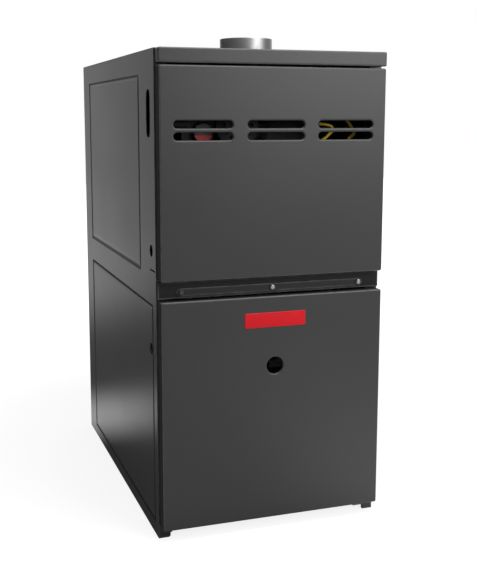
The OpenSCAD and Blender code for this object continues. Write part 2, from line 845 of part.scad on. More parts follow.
module inducer_gasket() {
    color([0.75, 0.3, 0.2])
        rod_ring_y([inducer_x, inducer_back_y, inducer_z], gasket_t, inducer_inlet_r + 12, inducer_inlet_r);
}

module rod_ring_y(from, l, r_out, r_in) {
    difference() {
        rod_y(from, l, r_out);
        rod_y([from.x, from.y - past, from.z], l + 2 * past, r_in);
    }
}

module inducer_outline(inset, top) {
    cut = inducer_step / 2 + inducer_r + 2 * inducer_step - inducer_out_w;
    translate([inducer_x, inducer_z]) scroll(inducer_r, inducer_step, cut, top, inset);
}

module inducer_housing() {
    top = inducer_out_z - inducer_z;
    color([0.13, 0.13, 0.14]) difference() {
        union() {
            wall_y(inducer_front_y, inducer_d) inducer_outline(0, top);
            rod_y([tap_x, inducer_front_y - tap_l, tap_z], tap_l, port_r);
        }
        wall_y(inducer_front_y + sheet, inducer_d - 2 * sheet) inducer_outline(sheet, top - sheet);
        rod_y([inducer_x, inducer_back_y - 2 * sheet, inducer_z], 3 * sheet, inducer_inlet_r);
        rod_y([inducer_x, inducer_front_y - past, inducer_z], sheet + 2 * past, 16);
        rod_y([tap_x, inducer_front_y - tap_l - past, tap_z], tap_l + sheet + 2 * past, port_r - 1.2);
        rod_z([0, collar_y, inducer_out_z - 2 * sheet], 3 * sheet, flue_r);
    }
}

module inducer_wheel() {
    depth = inducer_d - 16;
    y0 = inducer_front_y + 8;
    blade_r0 = inducer_wheel_r * 0.62;
    color([0.16, 0.16, 0.17]) translate([inducer_x, y0, inducer_z]) difference() {
        union() {
            rod_y([0, 0, 0], 1.6, inducer_wheel_r);
            rod_y([0, 0, 0], 22, 10);
            rod_ring_y([0, depth - 2, 0], 2, inducer_wheel_r, blade_r0 + 8);
            for (i = [0 : inducer_blades - 1])
                rotate([0, i * 360 / inducer_blades, 0])
                    translate([blade_r0, 0.8, 0]) rotate([0, 28, 0])
                        cube([(inducer_wheel_r - blade_r0) * 0.98, depth - 1.6, 1.2]);
        }
        rod_y([0, -past, 0], depth, inducer_shaft_r + run_fit);
    }
}

module inducer_shaft() {
    color([0.8, 0.81, 0.83])
        rod_y([inducer_x, motor_front_y - 4, inducer_z], inducer_front_y + 28 - motor_front_y,
            inducer_shaft_r);
}

module inducer_motor() {
    y1 = inducer_front_y - fan_space;
    leg = inducer_motor_r - 6;
    color([0.1, 0.1, 0.11]) difference() {
        union() {
            rod_y([inducer_x, motor_front_y, inducer_z], inducer_motor_l, inducer_motor_r);
            rod_y([inducer_x, motor_front_y - 2.5, inducer_z], 3, 13);
            for (a = [30 : 120 : 270])
                rod_y([inducer_x + leg * cos(a), y1 - past, inducer_z + leg * sin(a)], fan_space + past, 4);
        }
        rod_y([inducer_x, motor_front_y - 4, inducer_z], inducer_motor_l + 8, inducer_shaft_r + run_fit);
        for (a = [0 : 30 : 330])
            rod_y([inducer_x + 27 * cos(a), motor_front_y - past, inducer_z + 27 * sin(a)], 6, 4);
    }
}

// Small fan on the shaft between the motor and the housing
module motor_cooling_fan() {
    y0 = inducer_front_y - fan_space + 2;
    fan_r = inducer_motor_r - 12;
    fan_l = 8;
    fan_hub_r = 8;
    blade_t = 1.2;
    color([0.7, 0.7, 0.68]) translate([inducer_x, y0, inducer_z]) difference() {
        union() {
            rod_y([0, 0, 0], fan_l, fan_hub_r);
            rod_y([0, 0, 0], 1.5, fan_r);
            for (a = [22.5 : 45 : 337.5]) rotate([0, a, 0])
                translate([fan_hub_r - 1.5, 1, -blade_t / 2]) cube([fan_r - fan_hub_r, fan_l - 2, blade_t]);
        }
        rod_y([0, -past, 0], fan_l + 2 * past, inducer_shaft_r + run_fit);
    }
}

// Pipe from the inducer outlet, widening into the collar
module flue_transition() {
    z0 = inducer_out_z;
    z1 = cab_h - 10;
    top_r = collar_r - collar_step - collar_t - seam;
    color([0.68, 0.69, 0.71]) translate([0, collar_y, 0]) rotate_extrude() polygon([
        [flue_r, z0], [flue_flange_r, z0], [flue_flange_r, z0 + sheet], [flue_r + sheet, z0 + sheet],
        [flue_r + sheet, z0 + 5], [top_r, z1 - 8], [top_r, z1], [top_r - sheet, z1],
        [top_r - sheet, z1 - 8], [flue_r, z0 + 5]
    ]);
}

// Burners
module burner_bracket() {
    z0 = burner_z - bracket_up;
    z1 = bracket_top;
    half = bracket_half;
    plate_y = bracket_y0 + 14;
    color([0.6, 0.61, 0.62]) difference() {
        union() {
            difference() {
                span([-half, bracket_y0, z0], [half, vest_y, z1]);
                span([-half + sheet, bracket_y0 - past, z0 + sheet],
                    [half - sheet, vest_y + past, z1 - sheet]);
            }
            span([-half, plate_y, z0], [half, plate_y + sheet, z1]);
            span([-half, vest_y - sheet, z0 - 12], [half, vest_y, z0 + sheet]);
            for (s = [-1, 1])
                span([s * half - (s > 0 ? sheet : 0), manifold_y, burner_z - 12],
                    [s * half + (s > 0 ? 0 : sheet), bracket_y0 + past, burner_z + 12]);
        }
        for (x = cell_xs) rod_y([x, plate_y - past, burner_z], sheet + 2 * past, mixer_r + seam);
        for (x = [igniter_x, sensor_x]) rod_z([x, rod_y, z1 - sheet - past], sheet + 2 * past, rod_r + seam);
    }
}

module inshot_burners() {
    l = burner_y1 - burner_y0;
    t = sheet;
    throat = mixer_r - 3;
    color([0.64, 0.65, 0.66]) for (x = cell_xs)
        translate([x, burner_y0, burner_z]) rotate([-90, 0, 0]) rotate_extrude() polygon([
            [bell_r - t, 0], [bell_r, 0], [bell_r, t], [throat + t, 12], [mixer_r, 22], [mixer_r, l - 22],
            [mixer_r + 4, l - 12], [mixer_r + 4, l], [mixer_r + 4 - t, l], [mixer_r + 4 - t, l - 12],
            [mixer_r - t, l - 22], [mixer_r - t, 22], [throat, 12]
        ]);
}

module burner_orifices() {
    color([0.72, 0.55, 0.25]) for (x = cell_xs) translate([x, manifold_y, burner_z]) difference() {
        union() {
            rod_y([0, manifold_r - 2, 0], 3, spud_r);
            translate([0, manifold_r + 0.8, 0]) rotate([-90, 0, 0]) cylinder(h = 7, r = 6.4, $fn = 6);
            rod_y([0, manifold_r + 7, 0], orifice_reach - 7, spud_r - 0.5);
        }
        rod_y([0, manifold_r - 3, 0], orifice_reach + 4, 1.1);
    }
}

module gas_manifold() {
    riser_h = valve_z0 - 14 - burner_z;
    color([0.12, 0.12, 0.13]) difference() {
        union() {
            rod_x([-manifold_half, manifold_y, burner_z], 2 * manifold_half, manifold_r);
            rod_z([outlet_x, manifold_y, burner_z], riser_h, manifold_r);
            for (s = [-1, 1])
                rod_x([s > 0 ? manifold_half - 14 : -manifold_half, manifold_y, burner_z], 14,
                    manifold_r + 3);
            // Mounting arms out to the bracket's ears
            for (s = [-1, 1])
                span([s > 0 ? manifold_half - 2 : seam + sheet - bracket_half, manifold_y + 2, burner_z - 7],
                    [s > 0 ? bracket_half - sheet - seam : 2 - manifold_half, manifold_y + 4, burner_z + 7]);
        }
        rod_x([6 - manifold_half, manifold_y, burner_z], 2 * manifold_half - 12, manifold_r - manifold_t);
        rod_z([outlet_x, manifold_y, burner_z], riser_h + past, manifold_r - manifold_t);
        for (x = cell_xs)
            rod_y([x, manifold_y, burner_z], manifold_r + past, spud_r + hole_fit);
    }
}

module gas_valve() {
    mid_x = (valve_x0 + valve_x1) / 2;
    mid_z = (valve_z0 + valve_z1) / 2;
    boss_x = valve_x0 - inlet_boss_l;
    color([0.66, 0.67, 0.68]) difference() {
        union() {
            wall_y(valve_y, valve_d) translate([mid_x, mid_z]) rounded(valve_w, valve_h, 6);
            rod_x([boss_x, fy(gas_slot_back), inlet_z], inlet_boss_l + 8, inlet_boss_r);
            rod_z([outlet_x, manifold_y, valve_z0 - 14], 20, manifold_r + 4.5);
            rod_z([mid_x, valve_y + 30, valve_z1 - 2], 18, 19);
            rod_y([knob_x - 21, valve_y - 8, valve_z0 + 20], 9, 8);
            span([valve_x0 + 34, valve_y - 7, valve_z0 + 8], [valve_x1 - 4, valve_y + 2, valve_z0 + 24]);
        }
        rod_x([boss_x - past, fy(gas_slot_back), inlet_z], 20 + past, gas_port_r);
        rod_z([outlet_x, manifold_y, valve_z0 - 14 - past], 10 + past, manifold_r - manifold_t);
        rod_y([knob_x, valve_y - past, knob_z], 14 + past, 4 + slide_fit);
    }
}

module gas_valve_knob() {
    face = valve_y - seam;
    color([0.35, 0.35, 0.36]) {
        rod_y([knob_x, face - knob_l, knob_z], knob_l, knob_d / 2);
        rod_y([knob_x, face - past, knob_z], 12 + past, 4);
    }
}

// Red mark across the lower part of the knob's face
module knob_indicator() {
    color([0.75, 0.15, 0.15]) intersection() {
        rod_y([knob_x, valve_y - seam - knob_l - 1, knob_z], 1, knob_d / 2 - 0.4);
        span([knob_x - knob_d, valve_y - knob_d, knob_z - 14], [knob_x + knob_d, valve_y, knob_z - 5]);
    }
}

module igniter() {
    color([0.86, 0.84, 0.78]) {
        rod_z([igniter_x, rod_y, bracket_top - sheet - 9], 9 + sheet + 6, rod_r);
        rod_z([igniter_x, rod_y, bracket_top], 3, rod_r + 4);
        span([igniter_x - 3, rod_y - 1, burner_z - 4], [igniter_x + 3, rod_y + 1, bracket_top - sheet - 8]);
    }
}

module flame_sensor() {
    color([0.8, 0.8, 0.8]) {
        rod_z([sensor_x, rod_y, bracket_top - sheet - 9], 9 + sheet + 10, rod_r);
        rod_z([sensor_x, rod_y, bracket_top], 3, rod_r + 4);
        rod_z([sensor_x, rod_y, burner_z - 4], bracket_up, 1.4);
    }
}

module rollout_switches() {
    color([0.15, 0.13, 0.12]) for (s = [-1, 1])
        translate([s * rollout_x, rollout_y, bracket_top]) difference() {
            union() {
                rod_z([0, 0, 0], rollout_h, rollout_r);
                translate([-16, -7, 0]) cube([32, 14, 1.2]);
                for (x = [-5, 3.8]) translate([x, -10, 5]) cube([1.2, 20, 5]);
            }
            rod_z([0, 0, rollout_h - reset_l], reset_l + past, reset_r + slide_fit);
        }
}

module reset_button(s) {
    z0 = bracket_top + rollout_h - reset_l + reset_travel + slide_fit;
    color([0.8, 0.1, 0.1])
        rod_z([s * rollout_x, rollout_y, z0], bracket_top + rollout_h + reset_proud - z0, reset_r);
}

module reset_button_left() {
    reset_button(-1);
}

module reset_button_right() {
    reset_button(1);
}

module limit_switch() {
    color([0.15, 0.13, 0.12]) translate([0, vest_y, burner_z + 78]) {
        wall_y(-sheet, sheet) rounded(38, 16, 4);
        rod_y([0, -11, 0], 11, 9);
        for (x = [-5, 3.8]) translate([x, -17, -3]) cube([1.2, 7, 6]);
    }
}

// Diaphragm switch on a bracket on the right side
module pressure_switch() {
    color([0.22, 0.22, 0.23]) difference() {
        union() {
            rod_x([pressure_x0 + 7, pressure_y, pressure_z], pressure_t - 14, pressure_r);
            rod_x([pressure_x0, pressure_y, pressure_z], pressure_t, pressure_r - 9);
            rod_x([pressure_x0 - port_l, pressure_y, pressure_z - port_drop], port_l + 1, port_r);
            for (y = [-6, 4])
                span([pressure_x0 + 3, pressure_y + y - 1.4, pressure_z + 20],
                    [pressure_x0 + 4, pressure_y + y + 4.8, pressure_z + 32]);
            span([in_x - pressure_off - 1, pressure_y - 22, pressure_z - 46],
                [in_x - pressure_off + sheet, pressure_y + 22, pressure_z + 20]);
            span([in_x - pressure_off, pressure_y - 22, pressure_z - 46],
                [in_x, pressure_y + 22, pressure_z - 46 + sheet]);
            span([in_x - sheet, pressure_y - 22, pressure_z - 46],
                [in_x, pressure_y + 22, pressure_z - 30]);
        }
        rod_x([pressure_x0 - port_l - past, pressure_y, pressure_z - port_drop], port_l + 4, port_r - 1.2);
    }
}

module pressure_hose() {
    color([0.1, 0.1, 0.1]) tube_along(placed(hose_path), hose_r);
}

module yellow_leads() {
    color([0.9, 0.65, 0.1]) {
        tube_along(placed(lead_a), lead_r);
        tube_along(placed(lead_b), lead_r);
    }
}

// Blower
module blower_outline(inset, top) {
    translate([blower_y, blower_z]) scroll(blower_r, blower_step, blower_cut, top, inset);
}

module blower_housing() {
    top = blower_top - blower_z;
    t = blower_wall;
    color([0.64, 0.65, 0.66]) {
        difference() {
            union() {
                wall_x(-blower_half, blower_w) blower_outline(0, top);
                for (s = [0, 1]) mirror([s, 0, 0]) {
                    span([-blower_half - flange_out, blower_y + blower_cut, blower_top - 1.2],
                        [-blower_half + t, blower_y + blower_right, blower_top]);
                    translate([-blower_half + t, blower_y, blower_z]) rotate([0, -90, 0]) rotate_extrude()
                        polygon([[inlet_r - 2, 0], [inlet_r + 14, 0], [inlet_r + 14, t],
                            [inlet_r + 2, t + inlet_flare], [inlet_r - 2, t + inlet_flare]]);
                }
            }
            wall_x(t - blower_half, blower_w - 2 * t) blower_outline(t, top + past);
            rod_x([-blower_half - 2 * inlet_flare, blower_y, blower_z], blower_w + 4 * inlet_flare, inlet_r);
        }
    }
}

module blower_wheel() {
    ring_w = 8;
    blade_r0 = wheel_r - 19;
    color([0.62, 0.63, 0.64]) difference() {
        union() {
            for (x = [-wheel_w / 2, wheel_w / 2 - 2])
                ring_x([x, blower_y, blower_z], 2, wheel_r, wheel_r - ring_w);
            rod_x([hub_x + hub_l / 2 - 1, blower_y, blower_z], 2, wheel_r);
            rod_x([hub_x, blower_y, blower_z], hub_l, hub_r);
            wall_x(-wheel_w / 2, wheel_w) translate([blower_y, blower_z]) for (i = [0 : wheel_blades - 1])
                rotate(i * 360 / wheel_blades) blade(blade_r0);
        }
        rod_x([hub_x - past, blower_y, blower_z], hub_l + 2 * past, shaft_r + run_fit);
    }
}

// Forward-curved blade drawn as two straight parts
module blade(r0) {
    polygon([[r0, 0], [wheel_r - 9, 1.5], [wheel_r - 1.4, 6], [wheel_r - 2, 7.2], [wheel_r - 9.6, 2.7],
        [r0 - 0.2, 1.2]]);
}

module ring_x(from, l, r_out, r_in) {
    difference() {
        rod_x(from, l, r_out);
        rod_x([from.x - past, from.y, from.z], l + 2 * past, r_in);
    }
}

module blower_shaft() {
    color([0.8, 0.81, 0.83])
        rod_x([motor_x0 + 10, blower_y, blower_z], hub_x + hub_l + 2 - motor_x0, shaft_r);
}

module blower_motor() {
    cap_l0 = 14;
    color([0.18, 0.18, 0.19]) difference() {
        union() {
            rod_x([motor_x0 + 8, blower_y, blower_z], motor_l - 16, motor_r);
            rod_x([motor_x0, blower_y, blower_z], motor_l, motor_r - 10);
            rod_x([motor_x1 - 9, blower_y, blower_z], cap_l0, 16);
        }
        rod_x([motor_x0 + 8, blower_y, blower_z], motor_l + cap_l0, shaft_r + run_fit);
        for (a = [0 : 30 : 330])
            rod_x([motor_x0 - past, blower_y + 44 * cos(a), blower_z + 44 * sin(a)], 7, 6);
    }
}

// Band round the motor and three arms to the blower's inlet
module motor_mount() {
    arm_x = -blower_half - inlet_flare - arm_r - 1;
    band_x = arm_x - band_w / 2 + 2;
    color([0.55, 0.56, 0.58]) {
        ring_x([band_x, blower_y, blower_z], band_w, motor_r + band_t, motor_r);
        for (a = [90 : 120 : 330]) translate([0, blower_y, blower_z]) rotate([a, 0, 0]) {
            rod_y([arm_x, motor_r + band_t / 2, 0], arm_reach - motor_r - band_t / 2, arm_r);
            translate([arm_x, arm_reach, 0]) sphere(arm_r);
            rod_x([arm_x, arm_reach, 0], -blower_half - arm_x, arm_r);
        }
    }
}

// Rails under the shelf that carry the blower's flanges
module blower_rails() {
    y0 = blower_y + blower_cut;
    y1 = blower_y + blower_right;
    leg_x = blower_half + flange_out + seam;
    color([0.6, 0.61, 0.62]) for (s = [0, 1]) mirror([s, 0, 0]) {
        span([leg_x, y0, blower_top - 1.2 - seam - sheet], [leg_x + sheet, y1, deck_z]);
        span([blower_half + 4, y0, blower_top - 1.2 - seam - sheet],
            [leg_x + sheet, y1, blower_top - 1.2 - seam]);
        span([leg_x, y0, deck_z - sheet], [leg_x + 14, y1, deck_z]);
    }
}

capacitor_y = blower_y + blower_r + blower_step;
capacitor_z = blower_z + 60;

module run_capacitor() {
    x = blower_half + cap_r + 2 * blower_wall;
    color([0.75, 0.76, 0.78]) {
        rod_z([x, capacitor_y, capacitor_z], cap_l, cap_r);
        for (s = [-1, 1])
            translate([x + s * 8 - 3, capacitor_y - 0.5, capacitor_z + cap_l - 1]) cube([6, 1, 12]);
    }
}

module capacitor_strap() {
    x = blower_half + cap_r + 2 * blower_wall;
    z = capacitor_z + cap_l / 2 - 9;
    color([0.5, 0.51, 0.53]) difference() {
        union() {
            rod_z([x, capacitor_y, z], 18, cap_r + 1.2 + seam / 2);
            span([blower_half, capacitor_y - cap_r - 16, z],
                [blower_half + 1.2, capacitor_y + cap_r + 8, z + 18]);
        }
        rod_z([x, capacitor_y, z - past], 18 + 2 * past, cap_r + seam / 2);
    }
}

// Controls
module control_bracket() {
    z0 = deck_z - bracket_drop;
    color([0.6, 0.61, 0.62]) difference() {
        union() {
            span([bracket_x0, bracket_y, z0], [bracket_x1, bracket_y + sheet, deck_z]);
            span([bracket_x0, bracket_y, deck_z - sheet], [bracket_x1, bracket_y + 22, deck_z]);
            span([bracket_x0, bracket_y, z0], [bracket_x1, bracket_y + 14, z0 + sheet]);
        }
        span([bracket_x1 - 36, bracket_y - past, deck_z - 62],
            [bracket_x1 - 8, bracket_y + sheet + past, deck_z - 28]);
    }
}

module board_corners() {
    for (x = [6, board_w - 6], z = [6, board_h - 6])
        translate([board_x0 + x, 0, board_z0 + z]) children();
}

module control_board() {
    y = bracket_y - standoff_l - board_t;
    color([0.1, 0.3, 0.16]) {
        wall_y(y, board_t) translate([board_x0 + board_w / 2, board_z0 + board_h / 2])
            rounded(board_w, board_h, 3);
        board_corners() rod_y([0, bracket_y - standoff_l, 0], standoff_l, 3.5);
    }
}

module board_components() {
    y = bracket_y - standoff_l - board_t;
    color([0.12, 0.12, 0.13]) {
        for (i = [0 : 3])
            span([board_x0 + 20 + i * 30, y - 16, board_z0 + 70], [board_x0 + 42 + i * 30, y, board_z0 + 98]);
        span([board_x0 + 14, y - 12, board_z0 + 12], [board_x0 + 84, y, board_z0 + 26]);
        for (i = [0 : 2])
            rod_y([board_x0 + 102 + i * 20, y - 18, board_z0 + 40], 18, 7);
        span([board_x0 + 96, y - 8, board_z0 + 8], [board_x0 + 150, y, board_z0 + 18]);
        span([board_x0 + 140, y - 13, board_z0 + 104], [board_x0 + 158, y, board_z0 + 120]);
    }
}

module transformer() {
    x0 = bracket_x0 + 20;
    z0 = deck_z - bracket_drop + 9;
    color([0.3, 0.3, 0.32]) {
        span([x0, bracket_y - 42, z0], [x0 + 66, bracket_y - 8, z0 + 56]);
        span([x0 + 16, bracket_y - 54, z0 + 10], [x0 + 50, bracket_y - 42, z0 + 46]);
        span([x0 + 16, bracket_y - 8, z0 + 10], [x0 + 50, bracket_y, z0 + 46]);
        for (s = [0, 1])
            span([x0 - 12 + s * 78, bracket_y - sheet, z0], [x0 + s * 78, bracket_y, z0 + 14]);
        span([x0 - 12, bracket_y - 9, z0 + 4], [x0 + 78, bracket_y - 8 + past, z0 + 10]);
        for (s = [0, 1])
            span([x0 - 12 + s * 89, bracket_y - 9, z0], [x0 - 11 + s * 89, bracket_y, z0 + 14]);
    }
}

module interlock_switch() {
    color([0.14, 0.14, 0.15]) difference() {
        span([switch_x - switch_w / 2, switch_y0, switch_z - 11],
            [switch_x + switch_w / 2, switch_y0 + switch_d, rail_bottom]);
        rod_y([switch_x, switch_y0 - past, switch_z], 20 + plunger_travel + past, plunger_r + slide_fit);
    }
}

module interlock_plunger() {
    color([0.85, 0.85, 0.82])
        rod_y([switch_x, switch_y0 - plunger_out, switch_z], plunger_out + 20, plunger_r);
}

module junction_box() {
    x1 = jbox_w - in_x;
    z0 = lower_hole_z - jbox_h / 2;
    color([0.6, 0.61, 0.62]) difference() {
        span([-in_x, jbox_y0, z0], [x1, jbox_y0 + jbox_d, z0 + jbox_h]);
        span([sheet - in_x, jbox_y0 - past, z0 + sheet],
            [x1 - sheet, jbox_y0 + jbox_d - sheet, z0 + jbox_h - sheet]);
        rod_x([-in_x - past, fy(lower_hole_back), lower_hole_z], sheet + 2 * past, wire_hole_d / 2);
        rod_x([x1 - sheet - past, fy(60), deck_z - 128], sheet + 2 * past, harness_r + 1);
    }
}

module junction_box_cover() {
    z0 = lower_hole_z - jbox_h / 2;
    y = jbox_y0 - sheet;
    color([0.58, 0.59, 0.6]) {
        span([-in_x + seam, y, z0], [jbox_w - in_x, jbox_y0, z0 + jbox_h]);
        translate([-in_x + jbox_w / 2, y, z0 + 8]) rotate([90, 0, 0]) cylinder(h = 3, r = 4.6, $fn = 6);
    }
}

module deck_grommet() {
    color([0.08, 0.08, 0.08]) difference() {
        union() {
            rod_z([grommet_x, grommet_y, deck_z - 3], 6 + sheet, grommet_r - hole_fit);
            rod_z([grommet_x, grommet_y, deck_z - 3], 3, grommet_r + 4);
            rod_z([grommet_x, grommet_y, deck_top], 3, grommet_r + 4);
        }
        rod_z([grommet_x, grommet_y, deck_z - 3 - past], 8 + sheet + 2 * past, harness_r + 1.5);
    }
}

module wire_harness() {
    color([0.15, 0.15, 0.16]) {
        tube_along(placed(harness_a), harness_r);
        tube_along(placed(harness_b), harness_r);
    }
}

casing_wrap();
top_cap();
upper_door();
lower_door();
badge_plate();
door_switch_tab();
mullion();
door_retainer_strip();
retainer_screws();
base_frame();
blower_deck();
vestibule_panel();
vestibule_screws();
casing_liner();
gas_slot_cover();
hole_plugs();
vent_collar();
heat_exchanger_cells();
collector_box();
inducer_gasket();
inducer_housing();
inducer_wheel();
inducer_shaft();
inducer_motor();
motor_cooling_fan();
flue_transition();
burner_bracket();
inshot_burners();
burner_orifices();
gas_manifold();
gas_valve();
gas_valve_knob();
knob_indicator();
igniter();
flame_sensor();
rollout_switches();
reset_button_left();
reset_button_right();
limit_switch();
pressure_switch();
pressure_hose();
yellow_leads();
blower_housing();
blower_wheel();
blower_shaft();
blower_motor();
motor_mount();
blower_rails();
run_capacitor();
capacitor_strap();
control_bracket();
control_board();
board_components();
transformer();
interlock_switch();
interlock_plunger();
junction_box();
junction_box_cover();
deck_grommet();
wire_harness();
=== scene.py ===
# Looks of an upflow gas furnace with two lift-off doors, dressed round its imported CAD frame.
# Metres, +Z up, the doors towards -Y, as in the frame.
import math

import bmesh
import bpy
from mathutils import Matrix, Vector


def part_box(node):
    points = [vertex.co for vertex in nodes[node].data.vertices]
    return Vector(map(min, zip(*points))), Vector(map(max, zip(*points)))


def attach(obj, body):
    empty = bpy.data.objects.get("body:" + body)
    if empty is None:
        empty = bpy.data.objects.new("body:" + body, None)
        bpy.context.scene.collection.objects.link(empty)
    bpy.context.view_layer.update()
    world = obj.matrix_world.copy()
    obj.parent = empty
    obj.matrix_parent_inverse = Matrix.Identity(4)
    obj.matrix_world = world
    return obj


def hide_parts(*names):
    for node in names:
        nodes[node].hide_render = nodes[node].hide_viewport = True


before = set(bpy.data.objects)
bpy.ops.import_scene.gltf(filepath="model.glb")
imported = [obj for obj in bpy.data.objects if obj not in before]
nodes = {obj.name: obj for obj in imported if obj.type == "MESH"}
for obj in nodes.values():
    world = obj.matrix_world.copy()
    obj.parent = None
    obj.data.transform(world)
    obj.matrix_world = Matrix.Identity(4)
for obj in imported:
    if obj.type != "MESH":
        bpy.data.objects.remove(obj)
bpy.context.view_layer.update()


# ---- Camera -------------------------------------------------------------------------------------
# A studio camera 1.6 m in front of the doors and 0.6 m to the left, looking down a little.
# Its lens is shifted, so that the cabinet sits in the frame as the photographer had it.
picture_w, picture_h = 477, 577
focal_px = 932.4
middle_u, middle_v = 230.24, 257.88
camera_place = (-0.6276, -1.9497, 0.7839)
camera_tilt, camera_turn = 81.45, -18.73

camera_data = bpy.data.cameras.new("studio_camera")
camera_data.sensor_width = 36.0
camera_data.lens = focal_px * camera_data.sensor_width / picture_h
camera_data.shift_x = (picture_w / 2 - middle_u) / picture_h
camera_data.shift_y = (middle_v - picture_h / 2) / picture_h
camera_data.clip_start = 0.02
camera = bpy.data.objects.new("studio_camera", camera_data)
camera.location = camera_place
camera.rotation_euler = (math.radians(camera_tilt), 0.0, math.radians(camera_turn))
bpy.context.scene.collection.objects.link(camera)
bpy.context.scene.camera = camera
bpy.context.scene.view_settings.view_transform = "Standard"


# ---- White room ---------------------------------------------------------------------------------
# A white room with a pale floor, a large soft lamp at the front right and a smaller one above. The
# paint mirrors a bright back wall, a bright ceiling and bright patches of floor beside the cabinet.
class Signal:
    """The output of one node of a shader or geometry tree. + - * / add a Math node."""

    def __init__(self, tree, kind, inputs=None, output=0, **settings):
        self.tree = tree
        self.node = tree.nodes.new(kind)
        for name, value in settings.items():
            setattr(self.node, name, value)
        for key, value in (inputs or {}).items():
            socket = self.node.inputs[key]
            if isinstance(value, Signal):
                tree.links.new(value.socket, socket)
            else:
                socket.default_value = (*value, 1) if socket.type == "RGBA" else value
        self.socket = self.node.outputs[output] if self.node.outputs else None

    def part(self, output):
        """Another output of the same node."""
        twin = object.__new__(Signal)
        twin.tree, twin.node, twin.socket = self.tree, self.node, self.node.outputs[output]
        return twin

    def math(self, operation, a, b=0.0):
        return Signal(self.tree, "ShaderNodeMath", {0: a, 1: b}, operation=operation)

    def __add__(self, other):
        return self.math("ADD", self, other)

    def __sub__(self, other):
        return self.math("SUBTRACT", self, other)

    def __rsub__(self, other):
        return self.math("SUBTRACT", other, self)

    def __mul__(self, other):
        return self.math("MULTIPLY", self, other)

    def __truediv__(self, other):
        return self.math("DIVIDE", self, other)

    def __abs__(self):
        return self.math("ABSOLUTE", self)

    __radd__ = __add__
    __rmul__ = __mul__

    def smaller(self, other):
        return self.math("MINIMUM", self, other)

    def larger(self, other):
        return self.math("MAXIMUM", self, other)

    def wave(self, pitch):
        """Goes from 0 to 1 and back once in each pitch."""
        return self.math("SINE", self * (2 * math.pi / pitch)) * 0.5 + 0.5

    def step(self, low, high):
        """0 at low and 1 at high, with a soft start and end."""
        return Signal(self.tree, "ShaderNodeMapRange", {"Value": self, "From Min": low, "From Max": high},
                      interpolation_type="SMOOTHSTEP")

    def above(self, edge, soft=0.0001):
        """1 above the edge and 0 below it."""
        return self.step(edge - soft, edge + soft)

    def below(self, edge, soft=0.0001):
        return self.step(edge + soft, edge - soft)

    def between(self, low, high, soft=0.0001):
        return self.above(low, soft) * self.below(high, soft)

    def tint(self, off, on):
        """The colour off where this is 0, and on where it is 1."""
        return Signal(self.tree, "ShaderNodeMix", {0: self, 6: off, 7: on}, 2, data_type="RGBA")


def axes(place):
    """The X, Y and Z of a place, each as a signal."""
    x = Signal(place.tree, "ShaderNodeSeparateXYZ", {0: place}, "X")
    return x, x.part("Y"), x.part("Z")


def kinds_of_ray(tree):
    """1 on rays from the camera, and 1 on rays that come by way of a mirror or a glass."""
    rays = Signal(tree, "ShaderNodeLightPath", output="Is Camera Ray")
    return rays, rays.part("Is Glossy Ray").larger(rays.part("Is Transmission Ray"))


world = bpy.data.worlds.new("white_room")
bpy.context.scene.world = world
world.use_nodes = True
world.node_tree.nodes.clear()
room_light = 0.50
shown_light = 1.0
dark_wall = 0.06
seen, mirrored = kinds_of_ray(world.node_tree)
sky_x, sky_y, sky_z = axes(Signal(world.node_tree, "ShaderNodeTexCoord", output="Generated"))
back_wall = sky_y.step(0.0, 0.8) * sky_x.step(-0.26, -0.16)
wall = back_wall.larger(sky_z.step(0.25, 0.8)) * (1 - dark_wall) + dark_wall
light = seen * (shown_light - room_light) + mirrored * (wall - room_light) + room_light
room = Signal(world.node_tree, "ShaderNodeBackground", {"Color": (1, 1, 1), "Strength": light})
Signal(world.node_tree, "ShaderNodeOutputWorld", {"Surface": room})


def soft_lamp(name, place, target, width, height, power):
    lamp = bpy.data.lights.new(name, "AREA")
    lamp.shape = "RECTANGLE"
    lamp.size, lamp.size_y = width, height
    lamp.energy = power
    holder = bpy.data.objects.new(name, lamp)
    holder.location = place
    holder.rotation_euler = (Vector(target) - Vector(place)).to_track_quat("-Z", "Y").to_euler()
    bpy.context.scene.collection.objects.link(holder)


soft_lamp("front_right_lamp", (1.45, -2.65, 1.75), (0.05, -0.3, 0.6), 1.8, 2.0, 63)
soft_lamp("top_lamp", (0.25, -0.9, 2.7), (0.0, -0.1, 0.7), 1.2, 1.0, 34)


def begin(name):
    """Starts a material. Returns the place on the piece, in metres, that its signals come from."""
    material = bpy.data.materials.new(name)
    material.use_nodes = True
    material.node_tree.nodes.clear()
    place = Signal(material.node_tree, "ShaderNodeTexCoord", output="Object")
    place.material = material
    return place


def clouds(place, scale, detail=2.0, stretch=None):
    """Cloudy noise from 0 to 1, with clouds about 1 / scale metres across."""
    if stretch:
        place = Signal(place.tree, "ShaderNodeVectorMath", {0: place, 1: stretch}, operation="MULTIPLY")
    return Signal(place.tree, "ShaderNodeTexNoise", {"Vector": place, "Scale": scale, "Detail": detail})


def complete(place, colour, roughness, metallic=0.0, height=None, depth=0.0001, shine=0.5, glow=None):
    """Ends a place's material with its one shader. height is a relief from 0 to 1, depth metres deep.
    shine is how much the surface mirrors, and glow the light that it gives."""
    inputs = {"Base Color": colour, "Roughness": roughness, "Metallic": metallic, "Specular IOR Level": shine}
    if height is not None:
        inputs["Normal"] = Signal(place.tree, "ShaderNodeBump", {"Distance": depth, "Height": height})
    if glow is not None:
        inputs.update({"Emission Color": glow, "Emission Strength": 1.0})
    shader = Signal(place.tree, "ShaderNodeBsdfPrincipled", inputs)
    Signal(place.tree, "ShaderNodeOutputMaterial", {"Surface": shader})
    return place.material


